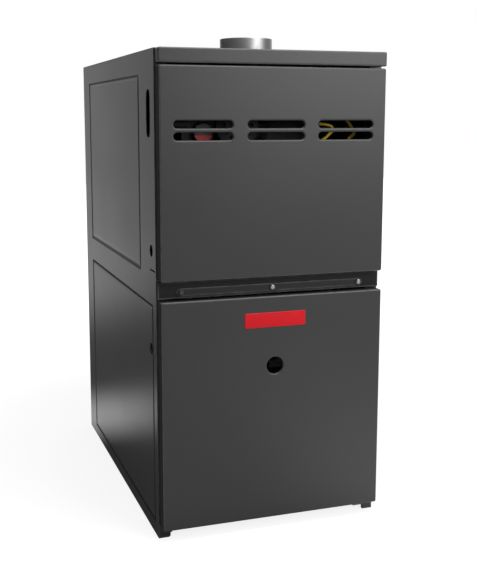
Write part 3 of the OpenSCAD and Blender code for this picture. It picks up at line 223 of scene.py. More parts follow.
floor_half = 9.0
floor_mesh = bpy.data.meshes.new("pale_floor")
floor_corners = [(floor_half * sx, floor_half * sy, 0) for sx, sy in ((-1, -1), (1, -1), (1, 1), (-1, 1))]
floor_mesh.from_pydata(floor_corners, [], [(0, 1, 2, 3)])
floor = bpy.data.objects.new("pale_floor", floor_mesh)
bpy.context.scene.collection.objects.link(floor)
floor_place = begin("pale_floor")
floor_x, floor_y, floor_z = axes(floor_place)
apart = floor_z.math("SQRT", floor_x * floor_x + floor_y * floor_y)
floor_seen, floor_mirrored = kinds_of_ray(floor_place.tree)
far = apart.step(0.5, 2.2)
# To the camera the floor is pale, and white far off, but dark under the casing. To the paint it is
# bright in front of the doors and to their right, and in three patches left of the casing and behind.
beside_doors = floor_y.step(-0.3, -0.5) * 0.5 + floor_x.step(0.0, 0.35) * floor_y.step(-1.6, -0.6) * 0.9
slant = floor_x / floor_y.larger(0.5)
near_casing = floor_x.step(-0.10, -0.24) * floor_x.step(-0.62, -0.32) * floor_y.step(0.17, 0.42)
beside_casing = (near_casing * floor_y.step(0.75, 0.44) * 0.95
                 + floor_y.step(1.1, 2.4) * floor_y.step(5.0, 3.6) * slant.step(-0.50, -0.22) * 0.8
                 + floor_y.step(3.6, 5.0) * slant.step(-0.30, -0.18)) * floor_x.step(-0.1, -0.2)
under = abs(floor_x).step(0.2222, 0.2180) * floor_y.step(-0.31, -0.28) * floor_y.step(0.362, 0.358)
lift = floor_seen * (far * 0.3 + 0.84) * (1 - under) + floor_mirrored * beside_doors.larger(beside_casing)
floor_tone = clouds(floor_place, 1.5).tint((0.20, 0.20, 0.20), (0.23, 0.23, 0.23))
floor_mesh.materials.append(complete(floor_place, floor_tone, 0.9, shine=0.1, glow=lift))


# ---- Casing -------------------------------------------------------------------------------------
# The wrapper of folded steel sheet, two sides and a back, and the cap over the burner space.
# All of it is powder coated charcoal: a fine orange peel, faint clouds, and along the folds a lighter
# band, partly rubbed paint and partly painted highlight.
charcoal = (0.0150, 0.0150, 0.0150)
charcoal_pale = (0.0200, 0.0200, 0.0198)
rubbed_paint_and_highlight = (0.110, 0.110, 0.107)
# Near black, painted as shade in the side grooves and on the doors' side walls.
painted_shade_colour = (0.003, 0.003, 0.003)
# Y and Z of the corners of each pressed rectangle on the sides, and how dark the shade painted in its groove
# is
pressed_sides = ((-0.22085, 0.495, 0.28915, 0.863, 0.35), (-0.31285, 0.023, 0.28915, 0.443, 0.80))


def fold_distance(place, low, high):
    """How far a place on a box's faces is from the box's nearest edge."""
    a, b, c = [(end - start) / 2 - abs(value - (end + start) / 2)
               for start, end, value in zip(low, high, axes(place))]
    return a.smaller(b).larger(a.larger(b).smaller(c))


def powder_coat(name, node, dark=charcoal, pale=charcoal_pale, gloss=0.34, shine=0.5, painted_shade_ends=False,
                pressed=()):
    """Paint for a node. Its box's edges are rubbed and given a painted highlight; shaded ends get painted
    shade.
    """
    low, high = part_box(node)
    place = begin(name)
    drift = clouds(place, 5.0, 3.0)
    peel = clouds(place, 620.0, 2.0)
    fleck = clouds(place, 2400.0, 1.0).step(0.60, 0.72)
    edge_patches = clouds(place, 55.0, 4.0).step(0.35, 0.66) * 0.6 + 0.4
    # The lighter band along the folds is partly rubbed paint and partly a painted highlight on the bends.
    edge_wear_and_highlight = fold_distance(place, low, high).step(0.0034, 0.0006) * edge_patches
    colour = drift.tint(dark, pale)
    colour = (fleck * 0.22).tint(colour, rubbed_paint_and_highlight)
    colour = (edge_wear_and_highlight * 0.65).tint(colour, rubbed_paint_and_highlight)
    roughness = drift * 0.06 + peel * 0.05 + edge_wear_and_highlight * 0.12 + gloss
    relief = peel + clouds(place, 90.0) * 0.8
    x, y, z = axes(place)
    # Painted shade: the side walls of the door pans are turned near black and rough.
    if painted_shade_ends:
        end = abs(x).step(high.x - 0.0006, high.x - 0.0001)
        colour = end.tint(colour, painted_shade_colour)
        roughness = roughness + end * 0.6
    # Painted shade in the groove round each pressed rectangle, and a wider band of it along its rear edge.
    for y0, z0, y1, z1, shade in pressed:
        inset = (y - y0).smaller(y1 - y).smaller(((z - z0) * 0.6).smaller(z1 - z))
        rear_painted_shade = (y1 - y).step(-0.0005, 0.0030) * (y1 - y).step(0.0160, 0.0070)
        painted_groove_shade = inset.step(-0.0008, 0.0004) * (inset.step(0.0052, 0.0036) * shade).larger(rear_painted_shade * 0.8)
        colour = painted_groove_shade.tint(colour, painted_shade_colour)
        roughness = roughness + painted_groove_shade * 0.5
        relief = relief + inset.step(0.0015, 0.0100) * 16
    return complete(place, colour, roughness, 0.0, relief, 0.00006, shine)


def dress(material, *names):
    """Gives CAD nodes a finish in their own material slots."""
    for name in names:
        for slot in nodes[name].material_slots:
            slot.material = material


def add_piece(mesh, name, material, slot_name, body, *replaced):
    """Makes a mesh a piece that moves with a body, and that may stand for CAD nodes."""
    if material:
        mesh.materials.clear()
        mesh.materials.append(material)
    piece = bpy.data.objects.new(name, mesh)
    bpy.context.scene.collection.objects.link(piece)
    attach(piece, body)
    if replaced:
        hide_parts(*replaced)
    return piece


dress(powder_coat("casing_paint", "casing_wrap", (0.0150, 0.0150, 0.0145), (0.0200, 0.0200, 0.0193),
                  0.25, pressed=pressed_sides), "casing_wrap")
dress(powder_coat("cap_paint", "top_cap", gloss=0.32), "top_cap")


# ---- Base frame, shelf and rails ----------------------------------------------------------------
# The frame round the return air opening, the blower's shelf and its rails are galvanised sheet.
# The zinc has set in flat crystals, each of its own grey, under a film of handling marks.
def galvanised(name, pale=(0.44, 0.45, 0.46), deep=(0.27, 0.28, 0.29), crystal=0.011, heat=None):
    place = begin(name)
    wander = clouds(place, 60.0, 2.0) * 0.004
    bent = Signal(place.tree, "ShaderNodeVectorMath", {0: place, 1: wander}, operation="ADD")
    crystals = axes(Signal(place.tree, "ShaderNodeTexVoronoi", {"Vector": bent, "Scale": 1 / crystal},
                           "Color"))[0]
    film = clouds(place, 22.0, 4.0).step(0.35, 0.7)
    scratches = clouds(place, 300.0, 2.0, (1.0, 1.0, 0.04)).step(0.62, 0.74)
    colour = (crystals * 0.65 + film * 0.35).tint(deep, pale)
    if heat:
        colour = heat_tinted(colour, heat(place))
    roughness = crystals * 0.14 + film * 0.10 + scratches * 0.12 + 0.30
    return complete(place, colour, roughness, 0.92,
                    crystals * 0.4 + clouds(place, 700.0) * 0.6, 0.00003)


def heat_tinted(colour, mask):
    """Steel that turns straw and then blue grey as the mask goes from 0 to 1."""
    straw = mask.step(0.10, 0.50).tint(colour, (0.34, 0.24, 0.12))
    return mask.step(0.50, 0.95).tint(straw, (0.10, 0.105, 0.14))


sheet_finish = galvanised("galvanised_sheet")
dress(sheet_finish, "base_frame", "blower_deck", "blower_rails", "gas_slot_cover")


# ---- Insulation ---------------------------------------------------------------------------------
# Boards of glass wool with a face of foil line the casing round the heat exchanger. The foil is
# finely creased, and the threads of its glass scrim stand out as a square grid.
place = begin("foil_face")
x, y, z = axes(place)
thread = z.wave(0.0125).larger((x + y).wave(0.0125)).step(0.965, 0.995)
creases = Signal(place.tree, "ShaderNodeTexVoronoi", {"Vector": place, "Scale": 70.0},
                 feature="DISTANCE_TO_EDGE").step(0.0, 0.12)
rumple = clouds(place, 38.0, 5.0)
foil_tone = rumple.tint((0.60, 0.61, 0.62), (0.74, 0.75, 0.76))
foil_finish = complete(place, foil_tone, rumple * 0.22 + 0.18, 1.0,
                       creases * 0.3 + rumple * 0.7 + thread * 0.5, 0.0004)
dress(foil_finish, "casing_liner")


# ---- Vestibule wall -----------------------------------------------------------------------------
# The wall between the burners and the heat exchanger is aluminised steel, satin and even, with heat
# stains round the four burner openings. Four washer head screws hold its edges.
burner_z = 0.575
cell_pitch = 0.092


def at_cells(place, z0, reach):
    """1 on the axes of the four cells at the height z0, and 0 further away than reach."""
    x, _, z = axes(place)
    columns = (x + 0.75 * cell_pitch).wave(cell_pitch)
    return columns * abs(z - z0).step(reach, reach * 0.3)


def aluminised(name, heat=None, pale=(0.42, 0.42, 0.41), deep=(0.30, 0.30, 0.295), roughness=0.36):
    place = begin(name)
    film = clouds(place, 16.0, 4.0)
    satin = clouds(place, 900.0, 2.0)
    smudges = clouds(place, 45.0, 3.0).step(0.5, 0.75)
    colour = (film * 0.7 + smudges * 0.3).tint(deep, pale)
    if heat:
        colour = heat_tinted(colour, heat(place))
    return complete(place, colour, film * 0.12 + satin * 0.08 + smudges * 0.10 + roughness, 0.9,
                    satin * 0.5 + film * 0.5, 0.00004)


# The vestibule's tones are far darker than the other aluminised steel: painted shade for the dim space behind
# the doors.
dress(aluminised("vestibule_steel", lambda place: at_cells(place, burner_z, 0.07),
                (0.20, 0.20, 0.196), (0.13, 0.13, 0.127)), "vestibule_panel")


def metal(name, bright, dull, roughness):
    """Bare or plated metal with duller clouds and a fine grain."""
    place = begin(name)
    film = clouds(place, 140.0, 4.0)
    fine = clouds(place, 900.0)
    return complete(place, film.step(0.35, 0.7).tint(bright, dull),
                    film * 0.16 + fine * 0.08 + roughness, 1.0, fine, 0.00003)


zinc = metal("zinc_plating", (0.66, 0.67, 0.69), (0.42, 0.43, 0.46), 0.24)


def tree_of(name, *inputs):
    """An empty geometry tree with a geometry socket each way, and the named inputs and their types."""
    tree = bpy.data.node_groups.new(name, "GeometryNodeTree")
    tree.interface.new_socket("Geometry", in_out="INPUT", socket_type="NodeSocketGeometry")
    for label, kind in inputs:
        tree.interface.new_socket(label, in_out="INPUT", socket_type="NodeSocket" + kind)
    tree.interface.new_socket("Geometry", in_out="OUTPUT", socket_type="NodeSocketGeometry")
    return tree, Signal(tree, "NodeGroupInput", output="Geometry")


def close_tree(tree, given, shape, turn):
    """Sets the shape, turned so, on every point given, as plain mesh with the tree's material."""
    placed = Signal(tree, "GeometryNodeInstanceOnPoints",
                    {"Points": given, "Instance": shape, "Rotation": turn})
    solid = Signal(tree, "GeometryNodeRealizeInstances", {"Geometry": placed})
    done = Signal(tree, "GeometryNodeSetMaterial", {"Geometry": solid, "Material": given.part("Material")})
    Signal(tree, "NodeGroupOutput", {"Geometry": done})
    return tree


def joined(tree, *shapes):
    join = Signal(tree, "GeometryNodeJoinGeometry")
    for shape in shapes:
        tree.links.new(shape.socket, join.node.inputs[0])
    return join


def moved(tree, shape, lift):
    offset = Signal(tree, "ShaderNodeCombineXYZ", {"Z": lift})
    return Signal(tree, "GeometryNodeTransform", {"Geometry": shape, "Translation": offset})


def washer_head_tree():
    """A hex head with chamfered corners on a round washer, turned towards -Y."""
    tree, given = tree_of("washer_heads", ("Hex Radius", "Float"), ("Hex Height", "Float"),
                          ("Washer Radius", "Float"), ("Washer Height", "Float"), ("Material", "Material"))
    hex_h, washer_h = given.part("Hex Height"), given.part("Washer Height")
    prism = Signal(tree, "GeometryNodeMeshCylinder",
                   {"Vertices": 6, "Radius": given.part("Hex Radius"), "Depth": hex_h})
    raised = Signal(tree, "GeometryNodeExtrudeMesh",
                    {"Mesh": prism, "Selection": prism.part("Top"), "Offset Scale": hex_h * 0.2},
                    mode="FACES")
    chamfered = Signal(tree, "GeometryNodeScaleElements",
                       {"Geometry": raised, "Selection": raised.part("Top"), "Scale": 0.8})
    washer_r = given.part("Washer Radius")
    washer = Signal(tree, "GeometryNodeMeshCone",
                    {"Vertices": 36, "Radius Top": washer_r * 0.84, "Radius Bottom": washer_r,
                     "Depth": washer_h})
    head = joined(tree, moved(tree, chamfered, washer_h + hex_h * 0.5), washer)
    return close_tree(tree, given, head, (math.pi / 2, 0.0, 0.0))


def settled(holder):
    """What an object's modifiers make of it, as a plain mesh. The object is removed."""
    mesh = bpy.data.meshes.new_from_object(holder.evaluated_get(bpy.context.evaluated_depsgraph_get()))
    bpy.data.objects.remove(holder)
    return mesh


def grown(name, points, tree, sizes):
    """Runs a geometry tree on loose points with these sizes, and returns the plain mesh that comes out."""
    seeds = bpy.data.meshes.new(name + "_places")
    seeds.from_pydata([tuple(point) for point in points], [], [])
    holder = bpy.data.objects.new(name, seeds)
    bpy.context.scene.collection.objects.link(holder)
    modifier = holder.modifiers.new(name, "NODES")
    modifier.node_group = tree
    for socket in tree.interface.items_tree:
        if socket.in_out == "INPUT" and socket.name in sizes:
            modifier[socket.identifier] = sizes[socket.name]
    mesh = settled(holder)
    mesh.name = name
    return mesh


washer_heads = washer_head_tree()


def add_screws(name, points, material, slot_name, body, *replaced,
               hex_r=0.0046, washer_r=0.0056, head_h=0.0040):
    """Washer head screws that face the doors, with their washers resting on the points."""
    washer_h = head_h * 0.25
    mesh = grown(name, [(x, y - washer_h / 2, z) for x, y, z in points], washer_heads,
                 {"Hex Radius": hex_r, "Hex Height": head_h * 0.6, "Washer Radius": washer_r,
                  "Washer Height": washer_h, "Material": material})
    return add_piece(mesh, name, None, slot_name, body, *replaced)


panel_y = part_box("vestibule_panel")[0].y
panel_screw_x, panel_screw_zs = 0.20905, (0.5202, 0.8915)
panel_screws = [(x, panel_y, z) for x in (-panel_screw_x, panel_screw_x) for z in panel_screw_zs]
add_screws("vestibule_screw_heads", panel_screws, zinc, "zinc_screw", "cabinet", "vestibule_screws")


# ---- Heat exchanger -----------------------------------------------------------------------------
# Four serpentine cells of aluminised tube. The first pass, where the flame enters, has turned straw
# and blue. The collector box in front of their outlets is the same steel, darkened as painted shade.
def cell_heat(place):
    _, y, z = axes(place)
    return abs(z - burner_z).step(0.05, 0.03) * y.step(0.32, -0.14) * (clouds(place, 30.0) * 0.3 + 0.8)


dress(aluminised("cell_tube", cell_heat, roughness=0.32), "heat_exchanger_cells")
# Painted shade: the collector box's steel is turned nearly black.
dress(aluminised("collector_steel", pale=(0.085, 0.085, 0.083), deep=(0.045, 0.045, 0.044)),
      "collector_box")


# ---- Inducer ------------------------------------------------------------------------------------
# A black moulded scroll draws the flue gas from the collector box through a red silicone gasket.
# Its wheel and a white cooling fan sit on one ground shaft. The motor's stator is bare laminations.
def moulded(name, pale, deep, roughness, grain=480.0, relief=0.00004, shine=0.45):
    """Moulded plastic, rubber or enamel with a fine matt grain and slight drifts of tone."""
    place = begin(name)
    drift = clouds(place, 18.0, 3.0)
    fine = clouds(place, grain, 3.0)
    return complete(place, (drift * 0.6 + fine * 0.4).tint(deep, pale),
                    drift * 0.10 + fine * 0.08 + roughness, 0.0, fine, relief, shine)


dress(moulded("scroll_plastic", (0.013, 0.013, 0.014), (0.007, 0.007, 0.008), 0.46, shine=0.22),
      "inducer_housing")
dress(moulded("wheel_plastic", (0.022, 0.022, 0.024), (0.012, 0.012, 0.013), 0.5), "inducer_wheel")
dress(moulded("gasket_silicone", (0.42, 0.07, 0.035), (0.33, 0.05, 0.028), 0.55), "inducer_gasket")
dress(moulded("fan_nylon", (0.50, 0.50, 0.47), (0.42, 0.42, 0.39), 0.42), "motor_cooling_fan")


def ground_steel(name, axis):
    """Ground bar, with fine rings round its axis."""
    place = begin(name)
    rings = clouds(place, 40.0, 3.0, tuple(60.0 if letter == axis else 0.4 for letter in "xyz"))
    tone = rings.tint((0.46, 0.46, 0.47), (0.66, 0.66, 0.67))
    return complete(place, tone, rings * 0.16 + 0.16, 1.0, rings, 0.00002)


dress(ground_steel("inducer_shaft_steel", "y"), "inducer_shaft")

stator_y0, stator_y1 = -0.2780, -0.2490
place = begin("inducer_motor_finish")
y = axes(place)[1]
stator = y.between(stator_y0, stator_y1)
sheets = y.wave(0.0009)
grit = clouds(place, 500.0, 3.0)
bell_tone = grit.tint((0.010, 0.010, 0.011), (0.020, 0.020, 0.021))
stator_tone = (sheets * 0.6 + grit * 0.4).tint((0.10, 0.10, 0.105), (0.22, 0.22, 0.225))
motor_finish = complete(place, stator.tint(bell_tone, stator_tone), grit * 0.12 + 0.44, stator * 0.85,
                        stator * sheets + grit * 0.3, 0.00015, 0.22)
dress(motor_finish, "inducer_motor")
dress(aluminised("flue_steel", roughness=0.30), "flue_transition")


# ---- Vent collar --------------------------------------------------------------------------------
# A short round collar of drawn steel, which the vent pipe slips over. Its top edge is hemmed, and
# it is brushed round and a little hazed. A flange under the cap holds it.
collar_x, collar_y = 0.0, -0.19385
collar_r = 0.0508
collar_wall = 0.0008
collar_step = 0.0006
collar_low, collar_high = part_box("vent_collar")
cap_z = 0.905
flange_r = 0.0618


def smooth_mesh(name, shell, angle=35.0):
    """The shell as a mesh with smooth faces, whose edges over the angle stay sharp."""
    mesh = bpy.data.meshes.new(name)
    shell.to_mesh(mesh)
    shell.free()
    mesh.shade_smooth()
    mesh.set_sharp_from_angle(angle=math.radians(angle))
    return mesh


def skin(shell, loops):
    """Faces between each loop and the next, which all have the same number of points."""
    n = len(loops[0])
    for near, far in zip(loops, loops[1:]):
        for k in range(n):
            shell.faces.new((near[k], near[(k + 1) % n], far[(k + 1) % n], far[k]))


def turned(name, profile, centre, axis, sides, closed=False, ripple=None):
    """Turns a profile of (radius, place along the axis) points round the y or z axis through the centre."""
    shell = bmesh.new()
    loops = []
    widest = max(radius for radius, along in profile)
    for radius, along in profile:
        loop = []
        for k in range(sides):
            a = 2 * math.pi * k / sides
            r = radius * (ripple(a) if ripple and radius > 0.9 * widest else 1.0)
            u, v = r * math.cos(a), r * math.sin(a)
            offset = (u, along, v) if axis == "y" else (u, v, along)
            loop.append(shell.verts.new(Vector(centre) + Vector(offset)))
        loops.append(loop)
    skin(shell, loops + loops[:1] if closed else loops)
    if not closed:
        shell.faces.new(loops[0])
        shell.faces.new(loops[-1])
    bmesh.ops.recalc_face_normals(shell, faces=shell.faces)
    return smooth_mesh(name, shell)


hem_r = 0.0009
hem_z = collar_high.z - hem_r
inner_r = collar_r - collar_wall
lower_r = collar_r - collar_step
under_z = cap_z - 0.0012
hem = [(collar_r - hem_r + hem_r * math.cos(a), hem_z + hem_r * math.sin(a))
       for a in (math.radians(15 * k) for k in range(13))]
foot_z = cap_z + 0.0006
outside = [(collar_r, foot_z + (hem_z - foot_z) * k / 8) for k in range(8)]
inside = [(collar_r - 2 * hem_r, hem_z - 0.006), (inner_r, hem_z - 0.0066), (inner_r, cap_z + collar_wall),
          (lower_r - collar_wall, cap_z + collar_wall), (lower_r - collar_wall, collar_low.z)]
flange = [(lower_r, collar_low.z), (lower_r, under_z - 0.001), (flange_r, under_z - 0.001),
          (flange_r, under_z), (lower_r, under_z), (lower_r, cap_z)]
collar_profile = [(collar_r, cap_z)] + outside + hem + inside + flange

place = begin("collar_metal")
brushed = clouds(place, 90.0, 3.0, (0.5, 0.5, 14.0))
haze = clouds(place, 60.0, 4.0).step(0.4, 0.7)
collar_finish = complete(place, haze.tint((0.42, 0.42, 0.425), (0.32, 0.315, 0.31)),
                         brushed * 0.10 + haze * 0.08 + 0.40, 1.0, brushed, 0.00003)
add_piece(turned("vent_collar_ring", collar_profile, (collar_x, collar_y, 0.0), "z", 144, closed=True),
          "vent_collar_ring", collar_finish, "collar_metal", "cabinet", "vent_collar")


# ---- Burners and manifold -----------------------------------------------------------------------
# Four inshot burners of pressed aluminised steel stand in a galvanised bracket, each fed by a brass
# orifice in a black enamelled iron manifold. Their outlet ends are blued by the flame.
def burner_heat(place):
    return axes(place)[1].step(-0.205, -0.150) * (clouds(place, 60.0) * 0.3 + 0.75)


def bracket_heat(place):
    return at_cells(place, burner_z, 0.05) * 0.7


dress(aluminised("burner_steel", burner_heat, roughness=0.34), "inshot_burners")
dress(galvanised("burner_bracket_sheet", heat=bracket_heat), "burner_bracket")
dress(metal("orifice_brass", (0.62, 0.42, 0.15), (0.40, 0.25, 0.09), 0.24), "burner_orifices")
dress(moulded("manifold_enamel", (0.014, 0.014, 0.015), (0.007, 0.007, 0.008), 0.34, 160.0, 0.0002),
      "gas_manifold")


# ---- Gas valve ----------------------------------------------------------------------------------
# A die cast body with a coil cap of black plastic on top and a terminal block low on its face.
# Four small screws hold the face, and its grey knob is fluted and carries a red mark.
valve_face = -0.29485
valve_top = 0.790
terminal_x = -0.12725
place = begin("valve_casting")
x, y, z = axes(place)
plastic = z.above(valve_top).larger(y.below(valve_face - 0.0001) * x.above(terminal_x, 0.00025))
cast_grain = clouds(place, 650.0, 4.0)
shade = clouds(place, 26.0, 3.0)
# Painted shade: the cast metal is turned near black, for the dim space behind the slots.
cast_painted_shade_tone = (cast_grain * 0.5 + shade * 0.5).tint((0.012, 0.012, 0.0125), (0.028, 0.028, 0.029))
valve_finish = complete(place, plastic.tint(cast_painted_shade_tone, (0.013, 0.013, 0.014)),
                        cast_grain * 0.12 + 0.44, (1 - plastic) * 0.3, cast_grain, 0.00012, 0.25)
dress(valve_finish, "gas_valve")
valve_screws = ((-0.1555, 0.785), (-0.1035, 0.785), (-0.1555, 0.707), (-0.1035, 0.7062))
add_screws("valve_screws", [(x, valve_face, z) for x, z in valve_screws], zinc, "zinc_screw", "cabinet",
           hex_r=0.0027, washer_r=0.0033, head_h=0.0026)

knob_x, knob_z = -0.1225, 0.757
knob_r, knob_l = 0.0182, 0.011
knob_face = -0.29515
flutes = 26
flute_depth = 0.035
stem_r, stem_l = 0.004, 0.0118
knob_profile = [(stem_r, stem_l), (stem_r, 0.0), (knob_r - 0.0006, 0.0), (knob_r, -0.0006), (knob_r, -0.004),
                (knob_r, -0.0082), (knob_r - 0.0004, -0.0096), (knob_r - 0.0014, -0.0106),
                (knob_r - 0.0024, -knob_l), (knob_r * 0.5, -knob_l), (knob_r * 0.2, -knob_l)]


def fluted(a):
    return 1.0 - flute_depth * (0.5 + 0.5 * math.cos(flutes * a)) ** 3


add_piece(turned("fluted_knob", knob_profile, (knob_x, knob_face, knob_z), "y", 8 * flutes, ripple=fluted),
          "fluted_knob", moulded("knob_plastic", (0.075, 0.075, 0.078), (0.055, 0.055, 0.057), 0.40),
          "knob_grey", "valve_knob", "gas_valve_knob")
dress(moulded("red_mark_paint", (0.56, 0.035, 0.03), (0.46, 0.026, 0.022), 0.42), "knob_indicator")


# ---- Igniter, flame sensor and switches ---------------------------------------------------------
# White ceramic holders carry the grey igniter blade and the sensor's steel rod. The rollout and
# limit switches are black phenolic on steel straps with tinned tags. The rollouts have red buttons.
def probe_in_ceramic(name, holder_end, roughness, depth, deep, pale=None, bare=False):
    """White ceramic, and below holder_end the probe that stands out of it, of bare metal or not."""
    place = begin(name)
    probe = axes(place)[2].below(holder_end)
    chalk = clouds(place, 260.0, 3.0)
    ceramic = chalk.tint((0.62, 0.60, 0.54), (0.74, 0.72, 0.66))
    tone = chalk.tint(deep, pale) if pale else deep
    return complete(place, probe.tint(ceramic, tone), chalk * 0.15 + roughness, probe if bare else 0.0,
                    chalk, depth)


dress(probe_in_ceramic("igniter_ceramic", 0.5998, 0.55, 0.00005, (0.05, 0.05, 0.055), (0.10, 0.10, 0.105)),
      "igniter")
dress(probe_in_ceramic("sensor_finish", 0.5978, 0.38, 0.00004, (0.34, 0.31, 0.27), bare=True),
      "flame_sensor")


def tagged_switch(name, bare):
    """Black phenolic, and bright metal where bare, given X, Y and Z, is 1."""
    place = begin(name)
    bright = bare(*axes(place))
    fine = clouds(place, 420.0, 3.0)
    tone = fine.tint((0.012, 0.011, 0.010), (0.022, 0.020, 0.018))
    return complete(place, bright.tint(tone, (0.48, 0.48, 0.50)), fine * 0.15 + 0.36, bright, fine, 0.00005)


strap_z = 0.6102
rollout_y, rollout_half_w = -0.1962, 0.0090
limit_plate_y, limit_tag_y = -0.13005, -0.1399
dress(tagged_switch("rollout_finish", lambda x, y, z: (
    z.below(strap_z, 0.00005).larger(abs(y - rollout_y).above(rollout_half_w)))), "rollout_switches")
dress(tagged_switch("limit_finish", lambda x, y, z: (
    y.above(limit_plate_y, 0.00005).larger(y.below(limit_tag_y)))), "limit_switch")
dress(moulded("button_red", (0.60, 0.02, 0.018), (0.48, 0.014, 0.012), 0.34), "reset_button_left",
      "reset_button_right")

bracket_x = 0.2100
port_x, port_z = 0.1920, 0.7462
dress(tagged_switch("pressure_switch_finish", lambda x, y, z: (
    x.above(bracket_x).larger(z.above(port_z) * x.below(port_x, 0.0005)))), "pressure_switch")


# ---- Leads and hose -----------------------------------------------------------------------------
# Two yellow wires run from the right rollout switch, one to the flue fan's motor and one to the
# pressure switch. They loop up behind the door's right slots, and are black elsewhere: partly a
# sleeve, partly painted shade where the middle slots show them. A hose of black silicone joins the
# fan's tap to the pressure switch.
casing_front = -0.33585
shelf_z = 0.489


def route_through(points, steps):
    """A smooth line through points in millimetres from the middle, the casing's front and the shelf."""
    knots = [Vector((x / 1000, casing_front + back / 1000, shelf_z + up / 1000)) for x, back, up in points]
    last = len(knots) - 1
    line = []
    for i in range(last):
        a, b, c, d = knots[max(i - 1, 0)], knots[i], knots[i + 1], knots[min(i + 2, last)]
        for k in range(steps):
            t = k / steps
            line.append((2 * b + (c - a) * t + (2 * a - 5 * b + 4 * c - d) * t * t
                         + (3 * b - 3 * c + d - a) * t * t * t) / 2)
    return line + [knots[last]]


def add_cord(name, points, radius, material, slot_name, node):
    """A wire or hose both of whose ends go into the object."""
    line = route_through(points, 8)
    curve = bpy.data.curves.new(name, "CURVE")
    curve.dimensions = "3D"
    curve.bevel_depth = radius
    curve.bevel_resolution = 4
    curve.use_fill_caps = True
    spline = curve.splines.new("POLY")
    spline.points.add(len(line) - 1)
    for knot, place in zip(spline.points, line):
        knot.co = (*place, 1.0)
    spline.use_smooth = True
    piece = add_piece(curve, name, material, slot_name, "cabinet", node)
    length = sum((b - a).length for a, b in zip(line, line[1:]))


lead_r, hose_r = 0.003, 0.004
motor_lead = [(-9, 70, 281), (8, 69.5, 281.5), (44, 56, 290), (84, 43, 285), (118, 40, 283), (137, 40, 279),
              (142, 42, 271), (135, 43, 263), (119, 46, 248), (100, 54, 222), (92, 78, 180), (87.6, 110, 142),
              (87.6, 128.6, 127.5)]
switch_lead = [(190.5, 72, 256.3), (189, 72, 268), (178, 66, 290), (166, 54, 301), (166, 43, 296),
               (174, 40, 287), (183, 40, 275), (188, 41, 268), (185, 42, 261), (176, 44, 252), (168, 46, 226),
               (152, 52, 196), (126, 82, 160), (104, 112, 136), (96.4, 128.6, 127.5)]
hose_path = [(18, 100.3, 253), (18, 86, 250), (44.3, 72, 240), (92.3, 66, 222), (135.6, 68, 212),
             (172.75, 72, 208)]
sleeve_x, sleeve_y = 0.11225, -0.2865
place = begin("lead_insulation")
x, y, _ = axes(place)
# Black on the leads: a sleeve towards the back, and painted shade left of sleeve_x, seen through the middle
# slots.
sleeve_and_painted_shade = y.above(sleeve_y, 0.0005).larger(x.below(sleeve_x, 0.00025))
fine = clouds(place, 300.0, 3.0)
yellow = fine.tint((0.90, 0.58, 0.040), (0.98, 0.68, 0.070))
lead_finish = complete(place, sleeve_and_painted_shade.tint(yellow, (0.010, 0.010, 0.010)), fine * 0.1 + 0.36, 0.0,
                       fine, 0.00004)
add_cord("yellow_lead_inducer", motor_lead, lead_r, lead_finish, "yellow_sleeve", "yellow_leads")
add_cord("yellow_lead_pressure", switch_lead, lead_r, lead_finish, "yellow_sleeve", "yellow_leads")
hose_finish = moulded("hose_silicone", (0.014, 0.014, 0.014), (0.008, 0.008, 0.008), 0.5)
add_cord("silicone_hose", hose_path, hose_r, hose_finish, "rubber_black", "pressure_hose")


# ---- Blower -------------------------------------------------------------------------------------
# A galvanised scroll hangs from the rails. Its wheel of forward curved blades sits on the shaft of
# a motor held in the left inlet by a band and three arms. A capacitor is strapped to the right side.
dress(sheet_finish, "blower_housing")
dress(galvanised("wheel_sheet", (0.46, 0.47, 0.48), (0.32, 0.33, 0.34), 0.006), "blower_wheel")
dress(ground_steel("blower_shaft_steel", "x"), "blower_shaft")

motor_x0, motor_x1 = -0.132, -0.008
seam_in, seam_w = 0.0200, 0.0008
place = begin("blower_motor_finish")
x = axes(place)[0]
shell_band = x.between(motor_x0, motor_x1, 0.0004)
seams = x.between(motor_x0 + seam_in, motor_x0 + seam_in + seam_w).larger(
    x.between(motor_x1 - seam_in - seam_w, motor_x1 - seam_in))
paint = clouds(place, 380.0, 3.0)
tone = shell_band.tint(paint.tint((0.030, 0.031, 0.033), (0.042, 0.043, 0.045)),
                       paint.tint((0.020, 0.021, 0.023), (0.030, 0.031, 0.033)))
blower_motor_finish = complete(place, (seams * 0.7).tint(tone, (0.004, 0.004, 0.004)), paint * 0.12 + 0.36,
                               0.0, paint * 0.3 + (1 - seams), 0.0002)
dress(blower_motor_finish, "blower_motor")
dress(metal("mount_zinc", (0.46, 0.47, 0.49), (0.30, 0.31, 0.33), 0.30), "motor_mount",
      "capacitor_strap")

lid_z = 0.3752
place = begin("capacitor_can")
z = axes(place)[2]
lid = z.between(lid_z - 0.0017, lid_z)
drawn = clouds(place, 70.0, 3.0, (1.0, 1.0, 0.08))
tone = drawn.tint((0.42, 0.43, 0.44), (0.58, 0.59, 0.60))
can_finish = complete(place, lid.tint(tone, (0.02, 0.02, 0.02)), drawn * 0.14 + 0.26,
                      z.above(lid_z).larger(1 - lid), drawn, 0.00004)
dress(can_finish, "run_capacitor")


# ---- Controls -----------------------------------------------------------------------------------
# A galvanised bracket under the shelf carries the control board and the transformer. The board is
# green glass laminate with paler tracks and tinned joints, on white nylon posts.
bracket_finish = galvanised("bracket_sheet", crystal=0.008)
dress(bracket_finish, "control_bracket")

